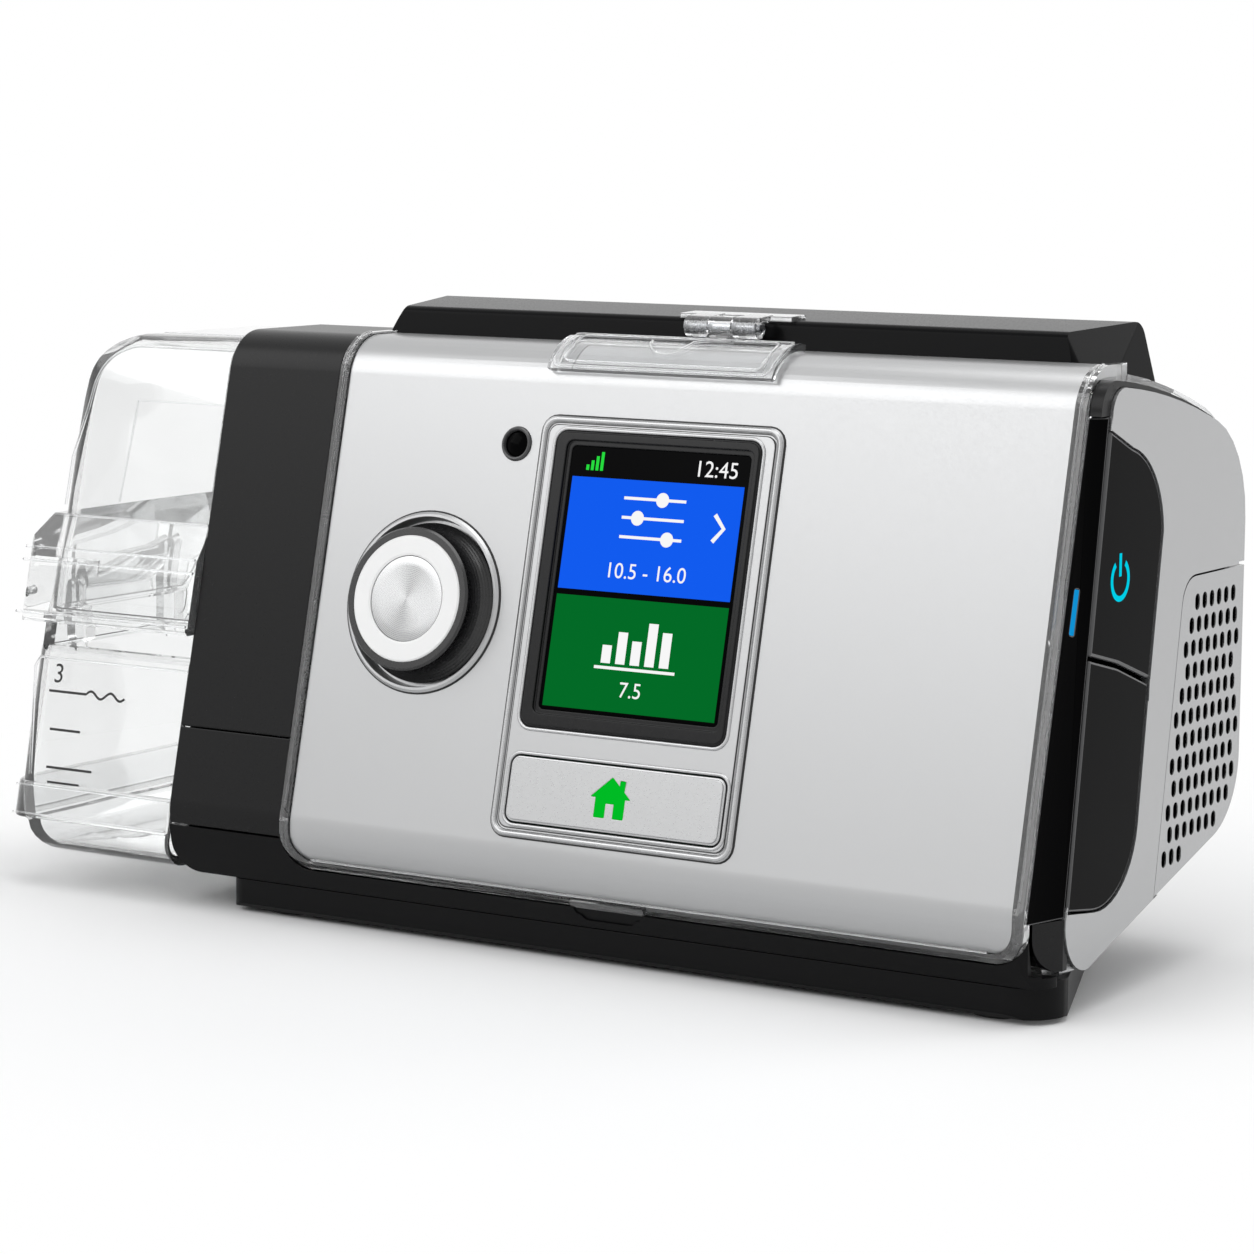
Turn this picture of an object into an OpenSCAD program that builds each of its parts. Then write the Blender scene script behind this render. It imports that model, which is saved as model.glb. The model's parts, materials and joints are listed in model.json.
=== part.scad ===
// Bilevel positive airway pressure machine with a clipped-on water tub.
// Device frame: X from the left edge of the silver panel, Y back and Z up from the foot of its front plane.
// seat() moves the finished pieces so that the origin is under the middle of the whole machine.

/* [Overall] */
// Length of the silver front panel
panel_w = 167.5; // [165:0.5:169]
// Distance from the panel's left edge to the right-hand face
side_x = 173.5; // [173:0.5:175]
// How far the tub's clip stands out to the left of the panel
tub_reach = 82; // [81.5:0.5:84]
// Distance from the foremost edge to the end of the outlet
depth = 110; // [106:1:114]
// Backward lean of the front, in degrees
lean = 13.4; // [12:0.2:14]
// Height of the panel's foot above the table
foot_z = 12.4; // [12:0.2:13]

/* [Shell] */
// Wall of the silver panel
panel_t = 2; // [1.6:0.1:2.2]
// Wall of the black case
case_t = 2.2; // [1.8:0.1:2.6]
// Depth of the case behind the front plane's foot
case_d = 91.4; // [90:0.2:92]
// Rise of the underside towards the back, in degrees
under_rise = 16; // [15:0.5:17]
// Fall of the crowned top where it meets the back, in degrees
top_fall = 18.4; // [17:0.2:20]

/* [Front] */
// Start of the lower curve, measured up the front
v_lo = 11; // [10:0.5:12]
// Radius of the lower curve
r_lo = 14; // [13:0.5:15]
// Start of the upper curve, measured up the front
v_hi = 104; // [103:0.5:105]
// Radius of the upper curve
r_hi = 10; // [9:0.5:11]
// Width of the black band left of the panel
band_w = 32; // [30:0.5:33]

/* [Controls] */
// Dial axis from the panel's left edge
dial_u = 26.3; // [25:0.1:28]
// Dial axis up the front
dial_v = 57.4; // [55:0.1:60]
// Radius of the dial's front rim
dial_r = 15; // [14:0.1:15.5]
// How far the dial stands out
dial_h = 6.2; // [5:0.1:7]
// Travel of the home button
button_travel = 0.8; // [0.5:0.1:0.9]
// Travel of the pressed dial
dial_travel = 0.6; // [0.4:0.1:0.7]

/* [Tub] */
// Wall of the clear tub
tub_t = 2; // [1.6:0.1:2.4]
// Height of the tub's rim up the front
rim_v = 47; // [45:0.5:49]
// Setback of the tub behind the front plane
tub_back = 2; // [1.5:0.1:3]

/* [Grille] */
// Width of one air slot
slot_w = 2.2; // [1.8:0.1:2.3]
// Length of one air slot
slot_l = 3.3; // [2.8:0.1:3.5]
// Spacing of slots along a row
slot_pitch = 3.5; // [3.4:0.1:3.8]
// Spacing of rows
row_pitch = 4.5; // [4:0.1:5]

/* [Hidden] */

// Steps of a drawn curve
steps = 12;
// Gap between fixed pieces and between moving pieces
gap = 0.2;
move_gap = 0.4;
// Ends of the main shells along X
x_trim = 2.3;
x_band = -band_w;
x_dock = x_band + 0.2;
dock_t = 2.2;
x_case = x_dock + dock_t;
x_skirt = 164;
trim_r_w = 2.5;
x_trim_r = panel_w + trim_r_w;
side_t = 2;
x_side_in = side_x - side_t;
// Band round the tub's foot: its heights and how far it stands out; its front is the foremost edge
band_z = [2.4, 10.2];
foot_out = 1.1;
front_edge = band_z[0] * tan(lean) + (tub_back - foot_out) / cos(lean);
// Shift to the middle of the machine
x_mid = (side_x - tub_reach) / 2;
y_mid = front_edge + depth / 2;
outlet_end = front_edge + depth;

// Case outline, seen from the side
under_y = 22;
under_z = -4;
r_under = 16;
r_top = 22;
crown_r = 194;
rear_top_z = 75.3;
split_z = 14;
chin_back = 9.8;
chin_low = -5;

// Panel curve
trim_end = 215;
panel_top_y = 41;

// Screen and button windows in the front, as low u, low v, high u, high v
surround = [50, 12, 106.6, 97.6];
bezel = [54, 34.4, 102, 94.6];
screen = [57.8, 38.2, 99.6, 91.7];
button = [53.6, 15.2, 103.6, 28.4];
icon_c = [78, 21.8];
sensor_c = [44.1, 91.3];
board_h = -7.2;
board_t = 1.6;

// Flap and its hinge over the top curve
flap_x1 = 50;
flap_x2 = 102.5;
hinge_y = 39.4;
hinge_z = 113;
hinge_x = 82;
knuckle_w = 5.6;
knuckle_r = 2.2;
pin_r = 0.8;
spine_top_z = 115.7;

// Blower, ducts and ports
blow_x = 122;
blow_y = 52;
blow_z = 48;
duct_y = 66;
duct_z = 58;
port_z = 77;
port_x = -15;
duct_r = 8.5;
duct_wall = 1.4;
outlet_r = 11;
inlet_x = 140;
inlet_z = 30;
inlet_r = 3.75;

// Tub, as distances in the device frame
tub_x2 = x_band - 0.6;
tub_x1 = -78.1;
neck_x = -75.6;
lid_x1 = -76.2;
tub_y2 = 78;
lid_top = 107;
lid_axis_x = -79;
lid_axis_z = 50.5;
ear_y = [26, 58];
ear_w = 4;
hinge_bore = 1;

// Point at height v up the front plane and h in front of it, as [y, z]
function front_pt(v, h) = [v * sin(lean) - h * cos(lean), v * cos(lean) + h * sin(lean)];
function arc_pts(c, r, a0, a1, n = steps) =
    [for (i = [0:n]) c + r * [cos(a0 + (a1 - a0) * i / n), sin(a0 + (a1 - a0) * i / n)]];
function flip(p) = [for (i = [len(p) - 1:-1:0]) p[i]];
lo_c = front_pt(v_lo, -r_lo);
hi_c = front_pt(v_hi, -r_hi);
front_a = 180 - lean;
// Curve of the front at offset h, from the angle a0 of the lower curve to the depth y_end on top
function skin_path(h, a0, y_end) =
    concat(arc_pts(lo_c, r_lo + h, a0, front_a), arc_pts(hi_c, r_hi + h, front_a, 90),
           [[y_end, hi_c[1] + r_hi + h]]);
// Height of the case's underside and top at depth y
function under_at(y) = under_z + (y - under_y) * tan(under_rise);
function top_at(y, t = 0) = crown_c[1] + sqrt(pow(crown_r - t, 2) - pow(y - crown_c[0], 2));
under_c = [case_d - r_under, under_at(case_d - r_under) + r_under / cos(under_rise)];
top_c = [case_d - r_top, rear_top_z];
crown_c = top_c + (r_top - crown_r) * [sin(top_fall), cos(top_fall)];
case_front_y = 33.2;
// How far the outlet's root reaches into the case, its radius, and where the thick end starts
outlet_in = 5;
outlet_root_r = 9.8;
outlet_y1 = case_d + 0.1;
// Side outline of the case, inset by t, from the chin round the back to the top front
function case_path(t = 0) =
    concat([[chin_back, under_z + t], [under_y + t * tan(under_rise / 2), under_z + t]],
           arc_pts(under_c, r_under - t, 270 + under_rise, 360),
           arc_pts(top_c, r_top - t, 0, 90 - top_fall, 6), crown_pts(72, case_front_y, -t));
// Points along the crowned top, from the depth y1 to y2, at height h above it
function crown_pts(y1, y2, h, n = 6) = [for (i = [0:n]) let (y = y1 + (y2 - y1) * i / n) [y, top_at(y, -h)]];
// Rounded rectangle from low u, low v, high u, high v
function rr_pts(b, r, g = 0, n = 5) =
    concat(arc_pts([b[0] + r + g, b[1] + r + g], r, 180, 270, n),
           arc_pts([b[2] - r - g, b[1] + r + g], r, 270, 360, n),
           arc_pts([b[2] - r - g, b[3] - r - g], r, 0, 90, n),
           arc_pts([b[0] + r + g, b[3] - r - g], r, 90, 180, n));

// Placing
module seat() translate([-x_mid, -y_mid, foot_z]) children();
module along_x(x1, x2) translate([x1, 0, 0]) rotate([90, 0, 90]) linear_extrude(x2 - x1) children();
// Prism drawn as seen from the front, in x and z, between two depths
module along_y(y1, y2) translate([0, y2, 0]) rotate([90, 0, 0]) linear_extrude(y2 - y1) children();
module on_front(u, v, h = 0)
    translate([u, front_pt(v, h)[0], front_pt(v, h)[1]]) rotate([90 - lean, 0, 0]) children();
// Plate drawn in front-plane coordinates between the heights h1 and h2
module front_plate(h1, h2) on_front(0, 0, h1) linear_extrude(h2 - h1) children();
module skin2d(h1, h2, a0, y_end) polygon(concat(skin_path(h1, a0, y_end), flip(skin_path(h2, a0, y_end))));
module tube(r1, r2, l) difference() {
    cylinder(h = l, r = r1, $fn = 48);
    translate([0, 0, -1]) cylinder(h = l + 2, r = r2, $fn = 48);
}

// Base and case

base_front = 5;
base_back = 76;
base_z = 1 - foot_z;
base_lip_z = -5.2;
base_plan = concat(arc_pts([-14.5, base_front + 4], 4, 180, 270, 6),
    arc_pts([side_x - 9, base_front + 9], 9, 270, 360, 8), [[172, 18], [156, 60],
    [148, base_back - 4], [144, base_back], [10, base_back], [4, base_back - 4], [-18.5, 18]]);
foot_spots = [[-6, 13.5], [160, 13.5], [14, 66], [138, 66]];
foot_r = 6.2;
foot_in = 0.8;
screw_spots = [[12, 30], [150, 30], [24, 58], [128, 58]];

module base_section(t) polygon([[base_front + t, base_z + 1 + t], [base_front + 1 + t, base_z + t],
    [base_back - 2 - t, base_z + t], [base_back - t, base_z + 2 + t], [base_back - t, under_at(base_back)],
    [under_y, under_z], [chin_back, under_z], [chin_back, base_lip_z], [base_front + t, base_lip_z]]);
base_wall = 2.4;
head_h = 1.2;
screw_r = 1.2;
module base_solid() intersection() {
    along_x(-20, 176) base_section(0);
    translate([0, 0, -20]) linear_extrude(60) polygon(base_plan);
}
module base_tray() color("#1b1b1d") difference() {
    union() {
        difference() {
            base_solid();
            intersection() {
                translate([0, 0, 0.01]) along_x(-16, 170) base_section(base_wall);
                translate([0, 0, -20]) linear_extrude(60) polygon([for (p = base_plan)
                    [p[0] < 70 ? p[0] + base_wall + 1 : p[0] - base_wall - 1,
                     max(p[1], chin_back + base_wall)]]);
            }
        }
        intersection() {
            base_solid();
            for (p = screw_spots) translate([p[0], p[1], base_z]) cylinder(h = 40, r = 3.4, $fn = 32);
        }
    }
    for (p = foot_spots) translate([p[0], p[1], base_z - 1])
        cylinder(h = 1 + foot_in, r = foot_r + 0.1, $fn = 48);
    for (p = screw_spots) translate([p[0], p[1], base_z - 1]) {
        cylinder(h = 1.3 + head_h, r = 2.2, $fn = 24);
        cylinder(h = 60, r = screw_r + 0.05, $fn = 24);
    }
}
module feet() color("#101010") for (p = foot_spots) translate([p[0], p[1], -foot_z]) {
    cylinder(h = 0.6, r1 = foot_r - 0.6, r2 = foot_r, $fn = 48);
    translate([0, 0, 0.6]) cylinder(h = 0.4 + foot_in, r = foot_r, $fn = 48);
}
// Depth of the screws' thread in the case above the underside
screw_bite = 5;
module case_screws() color("#8d8f92") for (p = screw_spots) translate([p[0], p[1], base_z + 0.3]) {
    difference() {
        cylinder(h = head_h, r = 2.1, $fn = 24);
        translate([0, 0, -0.1]) cylinder(h = 0.9, r = 0.9, $fn = 6);
    }
    translate([0, 0, head_h - 0.1])
        cylinder(h = under_at(p[1]) + screw_bite - base_z - 0.2 - head_h, r = screw_r, $fn = 24);
}

boss_top = 38;
module case_shell() along_x(x_case, x_skirt) polygon(concat(case_path(0), flip(case_path(case_t))));
module below(z) translate([-200, -100, z - 200]) cube([500, 300, 200]);
module bottom_case() color("#1d1d20") difference() {
    union() {
        intersection() {
            case_shell();
            below(split_z);
        }
        for (p = screw_spots) intersection() {
            translate([p[0], p[1], under_z]) cylinder(h = 18, r = 3.6, $fn = 32);
            along_x(x_case, x_skirt) polygon(case_path(case_t - 0.6));
        }
        for (p = pad_spots) intersection() {
            translate([p[0], p[1], under_z]) cylinder(h = boss_top - under_z, r = 6, $fn = 32);
            along_x(x_case, x_skirt) polygon(case_path(case_t - 0.6));
        }
    }
    for (p = screw_spots) translate([p[0], p[1], under_z - 1])
        cylinder(h = under_at(p[1]) + screw_bite + 0.6 - under_z + 1, r = screw_r + 0.05, $fn = 24);
}
module rear_case() color("#1d1d20") difference() {
    case_shell();
    below(split_z);
    translate([port_x, case_d - outlet_in - 1, port_z]) rotate([-90, 0, 0])
        cylinder(h = 10, r = outlet_root_r + 0.1, $fn = 64);
    translate([inlet_x, case_d - 5, inlet_z]) rotate([-90, 0, 0]) cylinder(h = 10, r = 6.1, $fn = 48);
}

// One black moulding along the foot: the low end of the band and the lip below the panel
chin_top = 5.1;
chin_wall = 2;
chin_x2 = side_x - 0.2;
belly_r = 32;
belly_c = [lo_c[0] - r_lo + belly_r, lo_c[1]];
tab = [69.2, 86.4];
// Angle on the belly at the height z, at the radius r
function belly_a(z, r) = 180 - asin((z - belly_c[1]) / r);
module chin_section() polygon(concat(
    arc_pts(belly_c, belly_r, belly_a(chin_top, belly_r), belly_a(chin_low, belly_r)),
    [[chin_back - gap, chin_low], [chin_back - gap, chin_low + chin_wall]],
    arc_pts(belly_c, belly_r - chin_wall, belly_a(chin_low + chin_wall, belly_r - chin_wall),
            belly_a(chin_top, belly_r - chin_wall))));
module tab_recess() intersection() {
    along_y(0, 20) polygon(concat([[tab[0], 0], [tab[0] + 1.2, -2.2]], arc_pts([73.2, -1.5], 2, 210, 270, 4),
        arc_pts([82.4, -1.5], 2, 270, 330, 4), [[tab[1] - 1.2, -2.2], [tab[1], 0]]));
    along_x(tab[0] - 1, tab[1] + 1) polygon(concat(arc_pts(belly_c, belly_r + 2, 176, 208),
        arc_pts(belly_c, belly_r - 0.35, 208, 176)));
}
module chin_lip() color("#19191b") difference() {
    intersection() {
        along_x(x_band, chin_x2) chin_section();
        along_y(-10, 40) polygon(concat(arc_pts([x_band + 6.5, chin_low + 6.5], 6.5, 180, 270),
            [[chin_x2, chin_low], [chin_x2, 10], [x_band, 10]]));
        translate([0, 0, -20]) linear_extrude(40) polygon(concat([[x_band, 20], [x_band, -5],
            [chin_x2 - 30, -5], [chin_x2 - 30, 3.1]],
            arc_pts([chin_x2 - 7, 10.1], 7, 270, 360), [[chin_x2, 20]]));
    }
    front_plate(-60, 10) trim_outline(0.3);
    translate([x_trim_r - 0.1, -5, chin_low + chin_wall + 0.4]) cube([20, 30, 20]);
    tab_recess();
}

// Raised spine on top of the case, hollow below

spine_y1 = panel_top_y + gap;
spine_y2 = 69.8;
spine_low_z = 100;
spine_high_z = 118;
spine_low = [[-9.6, 40], [163.4, 40], [163.9, 70], [-8.7, 70]];
spine_high = [[2.1, 40], [153.9, 40], [160.4, 70], [-3.3, 70]];
module spine_plan(p, r) hull() {
    translate([p[0][0] + r, p[0][1] + r]) circle(r = r, $fn = 24);
    translate([p[1][0] - r, p[1][1] + r]) circle(r = r, $fn = 24);
    translate([p[2][0] - 2, p[2][1] - 2]) circle(r = 2, $fn = 16);
    translate([p[3][0] + 2, p[3][1] - 2]) circle(r = 2, $fn = 16);
}
// Side view of the spine inset by t, its foot at the height low above the case
module spine_side(t, low) polygon(concat([[spine_y1 + t, top_at(spine_y1 + t) + low]],
    arc_pts([spine_y1 + 4.6, 112.2 - t], 2.3, 170, 94, 6),
    arc_pts([spine_y2 - 5, spine_top_z - 3 - t], 3, 88, 10, 6),
    [[spine_y2 - t, top_at(spine_y2 - t) + low]], crown_pts(spine_y2 - t - 4, spine_y1 + t + 4, low)));
module spine_cover() color("#141416") difference() {
    intersection() {
        hull() {
            translate([0, spine_y1 - 40, spine_low_z]) linear_extrude(0.01) spine_plan(spine_low, 4);
            translate([0, spine_y1 - 40, spine_high_z]) linear_extrude(0.01) spine_plan(spine_high, 4);
        }
        along_x(-20, 170) spine_side(0, 0.1);
    }
    along_x(4, 152) spine_side(case_t, -4);
    translate([-30, 0, 90]) cube([30 + band_x2 + gap, 120, hi_c[1] + r_hi + 0.3 - 90]);
}

// Black band left of the panel, in three pieces round one curve

band_x2 = -x_trim - 0.3;
plate_v1 = 26.4;
plate_a = 188.2;
band_top_y = 56;
module band_upper() color("#161618") along_x(x_band, band_x2) {
    z_top = hi_c[1] + r_hi;
    polygon(concat([front_pt(plate_v1 + gap, 0)], arc_pts(hi_c, r_hi, front_a, 90),
        arc_pts([band_top_y, z_top - 4], 4, 90, 0, 6), [[band_top_y + 4, top_at(band_top_y + 4)],
        [band_top_y + 2, top_at(band_top_y + 2)]],
        arc_pts([band_top_y, z_top - 4], 2, 0, 90, 6),
        arc_pts(hi_c, r_hi - 2, 90, front_a), [front_pt(plate_v1 + gap, -2)]));
}
module band_plate() color("#161618") along_x(x_band, band_x2)
    polygon(concat(arc_pts(lo_c, r_lo, plate_a, front_a), [front_pt(plate_v1, 0), front_pt(plate_v1, -2)],
        arc_pts(lo_c, r_lo - 2, front_a, plate_a)));

// Silver panel and its clear edge

flange_z = top_at(panel_top_y - panel_t) + gap;
trim_h = 0.5;
panel_end = 216;
// Foot of the silver panel and of its clear edge, measured up the front, and their corner radii
foot_v = [1.9, 0.1];
foot_r2 = [5, 7];
module foot_outline(x1, x2, v, r) polygon(concat(arc_pts([x1 + r, v + r], r, 180, 270, 8),
    arc_pts([x2 - r, v + r], r, 270, 360, 8), [[x2, 130], [x1, 130]]));
module panel_outline(g) foot_outline(-g, panel_w + g, foot_v[0] - g, foot_r2[0] + g);
module trim_outline(g) foot_outline(-x_trim - g, x_trim_r + g, foot_v[1] - g, foot_r2[1] + g);
module fascia() color("#c9cacc") difference() {
    union() {
        intersection() {
            along_x(0, panel_w) skin2d(0, -panel_t, panel_end, panel_top_y);
            front_plate(-60, 10) panel_outline(-gap / 2);
        }
        along_x(gap / 2, panel_w - gap / 2) translate([panel_top_y - panel_t, flange_z])
            square([panel_t, hi_c[1] + r_hi - panel_t / 2 - flange_z]);
    }
    front_plate(-0.6, 3) polygon(rr_pts(surround, 3.4));
    front_plate(-9, 3) polygon(rr_pts(bezel, 2.5, -0.1));
    front_plate(-9, 3) polygon(rr_pts(button, 2, -1));
    on_front(sensor_c[0], sensor_c[1], -9) cylinder(h = 12, r = 3.6, $fn = 48);
    on_front(dial_u, dial_v, -9) cylinder(h = 12, r = dial_r + 3, $fn = 64);
    label_pocket(0.7, 0.1);
}
module label_pocket(depth, g) along_x(flap_x1 + 5 - g, flap_x2 - 5 + g)
    polygon(concat(arc_pts(hi_c, r_hi + 0.01, 151, 102, 8), arc_pts(hi_c, r_hi - depth, 102, 151, 8)));
module label_card() color("#e6e7e9") along_x(flap_x1 + 5, flap_x2 - 5)
    polygon(concat(arc_pts(hi_c, r_hi - 0.2, 150, 103, 8), arc_pts(hi_c, r_hi - 0.65, 103, 150, 8)));
// Height of the clear right edge at its deep end on top
rail_t = 3;
module fascia_trim() color([0.9, 0.93, 0.95, 0.4]) union() {
    difference() {
        intersection() {
            along_x(-x_trim, x_trim_r) skin2d(trim_h, -panel_t, trim_end, panel_top_y);
            front_plate(-60, 10) trim_outline(0);
        }
        front_plate(-61, 11) panel_outline(gap / 2);
    }
    along_x(panel_w + gap / 2, x_trim_r) polygon(concat(arc_pts(hi_c, r_hi - panel_t + 0.1, 140, 90, 8),
        [[panel_top_y, hi_c[1] + r_hi - panel_t + 0.1], [panel_top_y, hi_c[1] + r_hi - rail_t]],
        arc_pts(hi_c, r_hi - rail_t, 90, 130, 8)));
    along_x(tab[0], tab[1]) polygon(concat(arc_pts(lo_c, r_lo + 1.2, 214, 208, 3),
        arc_pts(lo_c, r_lo + trim_h - 0.1, 208, 214, 3)));
}
// Clear bead that carries the panel's edge on along the top of the side
bead_h = 2.8;
module cover_bead() color([0.9, 0.93, 0.95, 0.4]) along_x(165, x_trim_r) difference() {
    polygon(concat(crown_pts(panel_top_y + gap, 76, bead_h, 8), arc_pts(top_c, r_top + bead_h, 68, 54, 4),
        arc_pts(top_c, r_top + 0.1, 32, 68, 8), crown_pts(76, panel_top_y + gap, 0.1, 8)));
    translate([52, top_at(52) + bead_h - 0.4]) square([0.5, 1]);
}

// Screen

module display_surround() color("#b4b6b9") difference() {
    front_plate(-0.6, 0.5) polygon(rr_pts(surround, 3.3, 0.1));
    front_plate(-1, 2) polygon(rr_pts(bezel, 2.5, -0.1));
    front_plate(-1, 2) polygon(rr_pts(button, 2, -0.4));
    front_plate(0.1, 2) difference() {
        polygon(rr_pts(surround, 2.4, 1.4));
        polygon(rr_pts(surround, 2.2, 1.9));
    }
}
module screen_bezel() color("#101012") difference() {
    union() {
        front_plate(-1.9, 0.6) polygon(rr_pts(bezel, 2.5));
        front_plate(0.6, 1) polygon(rr_pts(bezel, 2.2, 0.4));
    }
    front_plate(-3, 3) polygon(rr_pts(screen, 1));
    front_plate(0.3, 3) polygon(rr_pts(screen, 1.6, -1));
}
module screen_window() color("#141c28") front_plate(-1.6, 0.1) polygon(rr_pts(screen, 0.9, 0.1));
module lcd_module() color("#2b2f36") union() {
    front_plate(-5.8, -2.1) polygon(rr_pts(screen, 0.6, -1.6));
    front_plate(-6.6, -5.8) polygon([[64, 40], [93, 40], [93, 60], [64, 60]]);
}
module control_board() color("#1f6b3a") difference() {
    front_plate(board_h - board_t, board_h) polygon(rr_pts([8, 12, 108, 98], 2));
    on_front(dial_u, dial_v, -12) cylinder(h = 10, r = 6, $fn = 48);
}
module sensor_ring() color("#17171a") on_front(sensor_c[0], sensor_c[1]) rotate_extrude($fn = 48)
    polygon([[2.7, -1.9], [3.5, -1.9], [3.5, 0.3], [3.2, 0.6], [2.9, 0.5], [2.7, 0.1]]);
module light_sensor() color("#2a2630") on_front(sensor_c[0], sensor_c[1], -5) rotate_extrude($fn = 48)
    polygon(concat([[0, 0], [2.6, 0]], arc_pts([0, 0.6], 5.1, 59.5, 90, 6)));

// Dial: a spun disc in a white ring on a black skirt, on a pushed and turned shaft

module on_dial(h = 0) on_front(dial_u, dial_v, h) children();
sleeve_r = 4.4;
shaft_r = 3;
run = 0.05;
// Floor of the dial's seat, a little deeper than the pressed dial reaches
dial_floor = -1.3 - dial_travel;
module dial_seat() color("#a9abae") on_dial() rotate_extrude($fn = 72) polygon([[sleeve_r + 1, dial_floor - 1],
    [dial_r + 2.9, dial_floor - 1], [dial_r + 2.9, 0], [dial_r + 3.7, 0], [dial_r + 3.7, 0.35],
    [dial_r + 3.2, 0.8], [dial_r + 2.7, 0.8], [dial_r + 2.2, dial_floor], [sleeve_r + 1, dial_floor]]);
module encoder_body() color("#3a3c40") difference() {
    on_dial(board_h) union() {
        translate([-6.5, -6.5, 0]) cube([13, 13, 3.6]);
        for (s = [-1, 1]) translate([s * 5.2, -7.8, 0.3]) translate([-0.4, 0, 0]) cube([0.8, 1.3, 0.8]);
    }
    on_dial(board_h - 1) cylinder(h = 8, r = sleeve_r + run, $fn = 48);
}
module encoder_sleeve() color("#b8babd") on_dial(board_h + 0.7) tube(sleeve_r, shaft_r + run, 4.2);
module dial_shaft() color("#c2c4c7") on_dial(board_h + 0.4) cylinder(h = 10, r = shaft_r, $fn = 48);
module dial_skirt() color("#121214") on_dial() rotate_extrude($fn = 96) polygon(concat(
    [[shaft_r, -1.0], [shaft_r + 1.4, -1.0], [shaft_r + 1.4, 3.4], [dial_r - 1.6, 3.4], [dial_r - 0.6, -0.9],
     [dial_r + 1.6, -0.9]], arc_pts([dial_r + 4.4, 3.6], 5.2, 237, 180, 8),
    [[dial_r - 0.2, dial_h - 0.5], [dial_r - 0.6, dial_h], [13.1, dial_h], [13.1, dial_h - 1.1],
     [0, dial_h - 1.1], [0, 3.2], [shaft_r, 3.2]]));
module dial_ring() color("#f2f2f2") on_dial(dial_h - 1.1) rotate_extrude($fn = 96)
    polygon([[8.9, 0], [13.05, 0], [13.05, 1.0], [12.7, 1.25], [9.3, 1.25], [8.9, 1.05]]);
module dial_cap() color("#d6d7d9") on_dial(dial_h - 1.1) rotate_extrude($fn = 96)
    polygon([[0, 0], [8.85, 0], [8.85, 0.95], [8.5, 1.1], [0, 0.9]]);

// Home button with an inlaid house

// House drawn a margin g inside its pocket
module house2d(g) translate(icon_c) polygon([[-4.6 + 2.63 * g, 0.2 + g], [0, 4.3 - 1.34 * g],
    [1.9 + g, 2.6 - 2.23 * g], [1.9 + g, 3.8 - g], [3 - g, 3.8 - g], [3 - g, 1.63 - 0.45 * g],
    [4.6 - 2.63 * g, 0.2 + g], [3.4 - g, 0.2 + g], [3.4 - g, -3.8 + g], [1 + g, -3.8 + g], [1 + g, -0.9 + g],
    [-1 - g, -0.9 + g], [-1 - g, -3.8 + g], [-3.4 + g, -3.8 + g], [-3.4 + g, 0.2 + g]]);
button_top = 1.1;
module home_button() color("#c4c5c8") difference() {
    union() {
        front_plate(-1.4, button_top - 0.4) polygon(rr_pts(button, 1.9));
        front_plate(button_top - 0.5, button_top) polygon(rr_pts(button, 1.6, 0.4));
        front_plate(stem_low, -1) polygon(rr_pts([74, 18, 82, 26], 1));
    }
    front_plate(button_top - 0.5, 3) house2d(0);
}
module button_icon() color("#0fbf14") front_plate(button_top - 0.45, button_top + 0.05)
    house2d(0.05);
stem_low = -4.6;
module button_switch() color("#26282b") union() {
    front_plate(board_h, board_h + 1) polygon([[75, 19], [81, 19], [81, 25], [75, 25]]);
    on_front(78, 22, board_h + 1)
        cylinder(h = stem_low - button_travel - gap - board_h - 1, r = 1.6, $fn = 32);
}

// Clear flap over the label, with its hinge

flap_low = 0.4;
flap_high = 1.9;
module flap_strip(h1, h2, a1, a2)
    polygon(concat(arc_pts(hi_c, r_hi + h1, a1, a2), arc_pts(hi_c, r_hi + h2, a2, a1)));
module label_flap() color([0.9, 0.94, 0.97, 0.35]) difference() {
    union() {
        along_x(flap_x1, flap_x2) flap_strip(flap_low, flap_high, 152, 76);
        along_x(hinge_x - knuckle_w / 2 + 0.2, hinge_x + knuckle_w / 2 - 0.2) {
            polygon([[hinge_y - 1.8, hinge_z - 1.3], [hinge_y + 1.2, hinge_z - 1.8],
                     [hinge_y + 0.2, hi_c[1] + r_hi + 0.5], [hinge_y - 4, hi_c[1] + r_hi + 0.8],
                     [hinge_y - 4, hi_c[1] + r_hi + 1.6]]);
            translate([hinge_y, hinge_z]) circle(r = knuckle_r, $fn = 48);
        }
    }
    along_x(flap_x1 + 2.4, flap_x2 - 2.4) flap_strip(1.3, 3, 146, 98);
    along_x(0, 160) translate([hinge_y, hinge_z]) circle(r = pin_r + run, $fn = 48);
}
module hinge_leaf() color([0.9, 0.94, 0.97, 0.35]) difference() {
    union() {
        for (s = [-1, 1]) translate([s * knuckle_w, 0, 0])
            along_x(hinge_x - knuckle_w / 2 + 0.1, hinge_x + knuckle_w / 2 - 0.1) {
                translate([hinge_y, hinge_z]) circle(r = knuckle_r, $fn = 48);
                polygon([[hinge_y - 0.6, hinge_z + 1.2], [hinge_y + 1, hinge_z + 0.4],
                         [spine_y1 + 3.4, 114.7], [spine_y1 + 3.4, 115.5], [hinge_y + 0.4, hinge_z + 2.15]]);
            }
        along_x(hinge_x - 13, hinge_x + 13)
            polygon([[spine_y1 + 2.6, 114.3], [spine_y1 + 4.4, 114.5], [spine_y1 + 8.4, 114.76],
                     [spine_y1 + 8.4, 115.5], [spine_y1 + 2.6, 115.3]]);
    }
    along_x(0, 160) translate([hinge_y, hinge_z]) circle(r = pin_r, $fn = 48);
}
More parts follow.
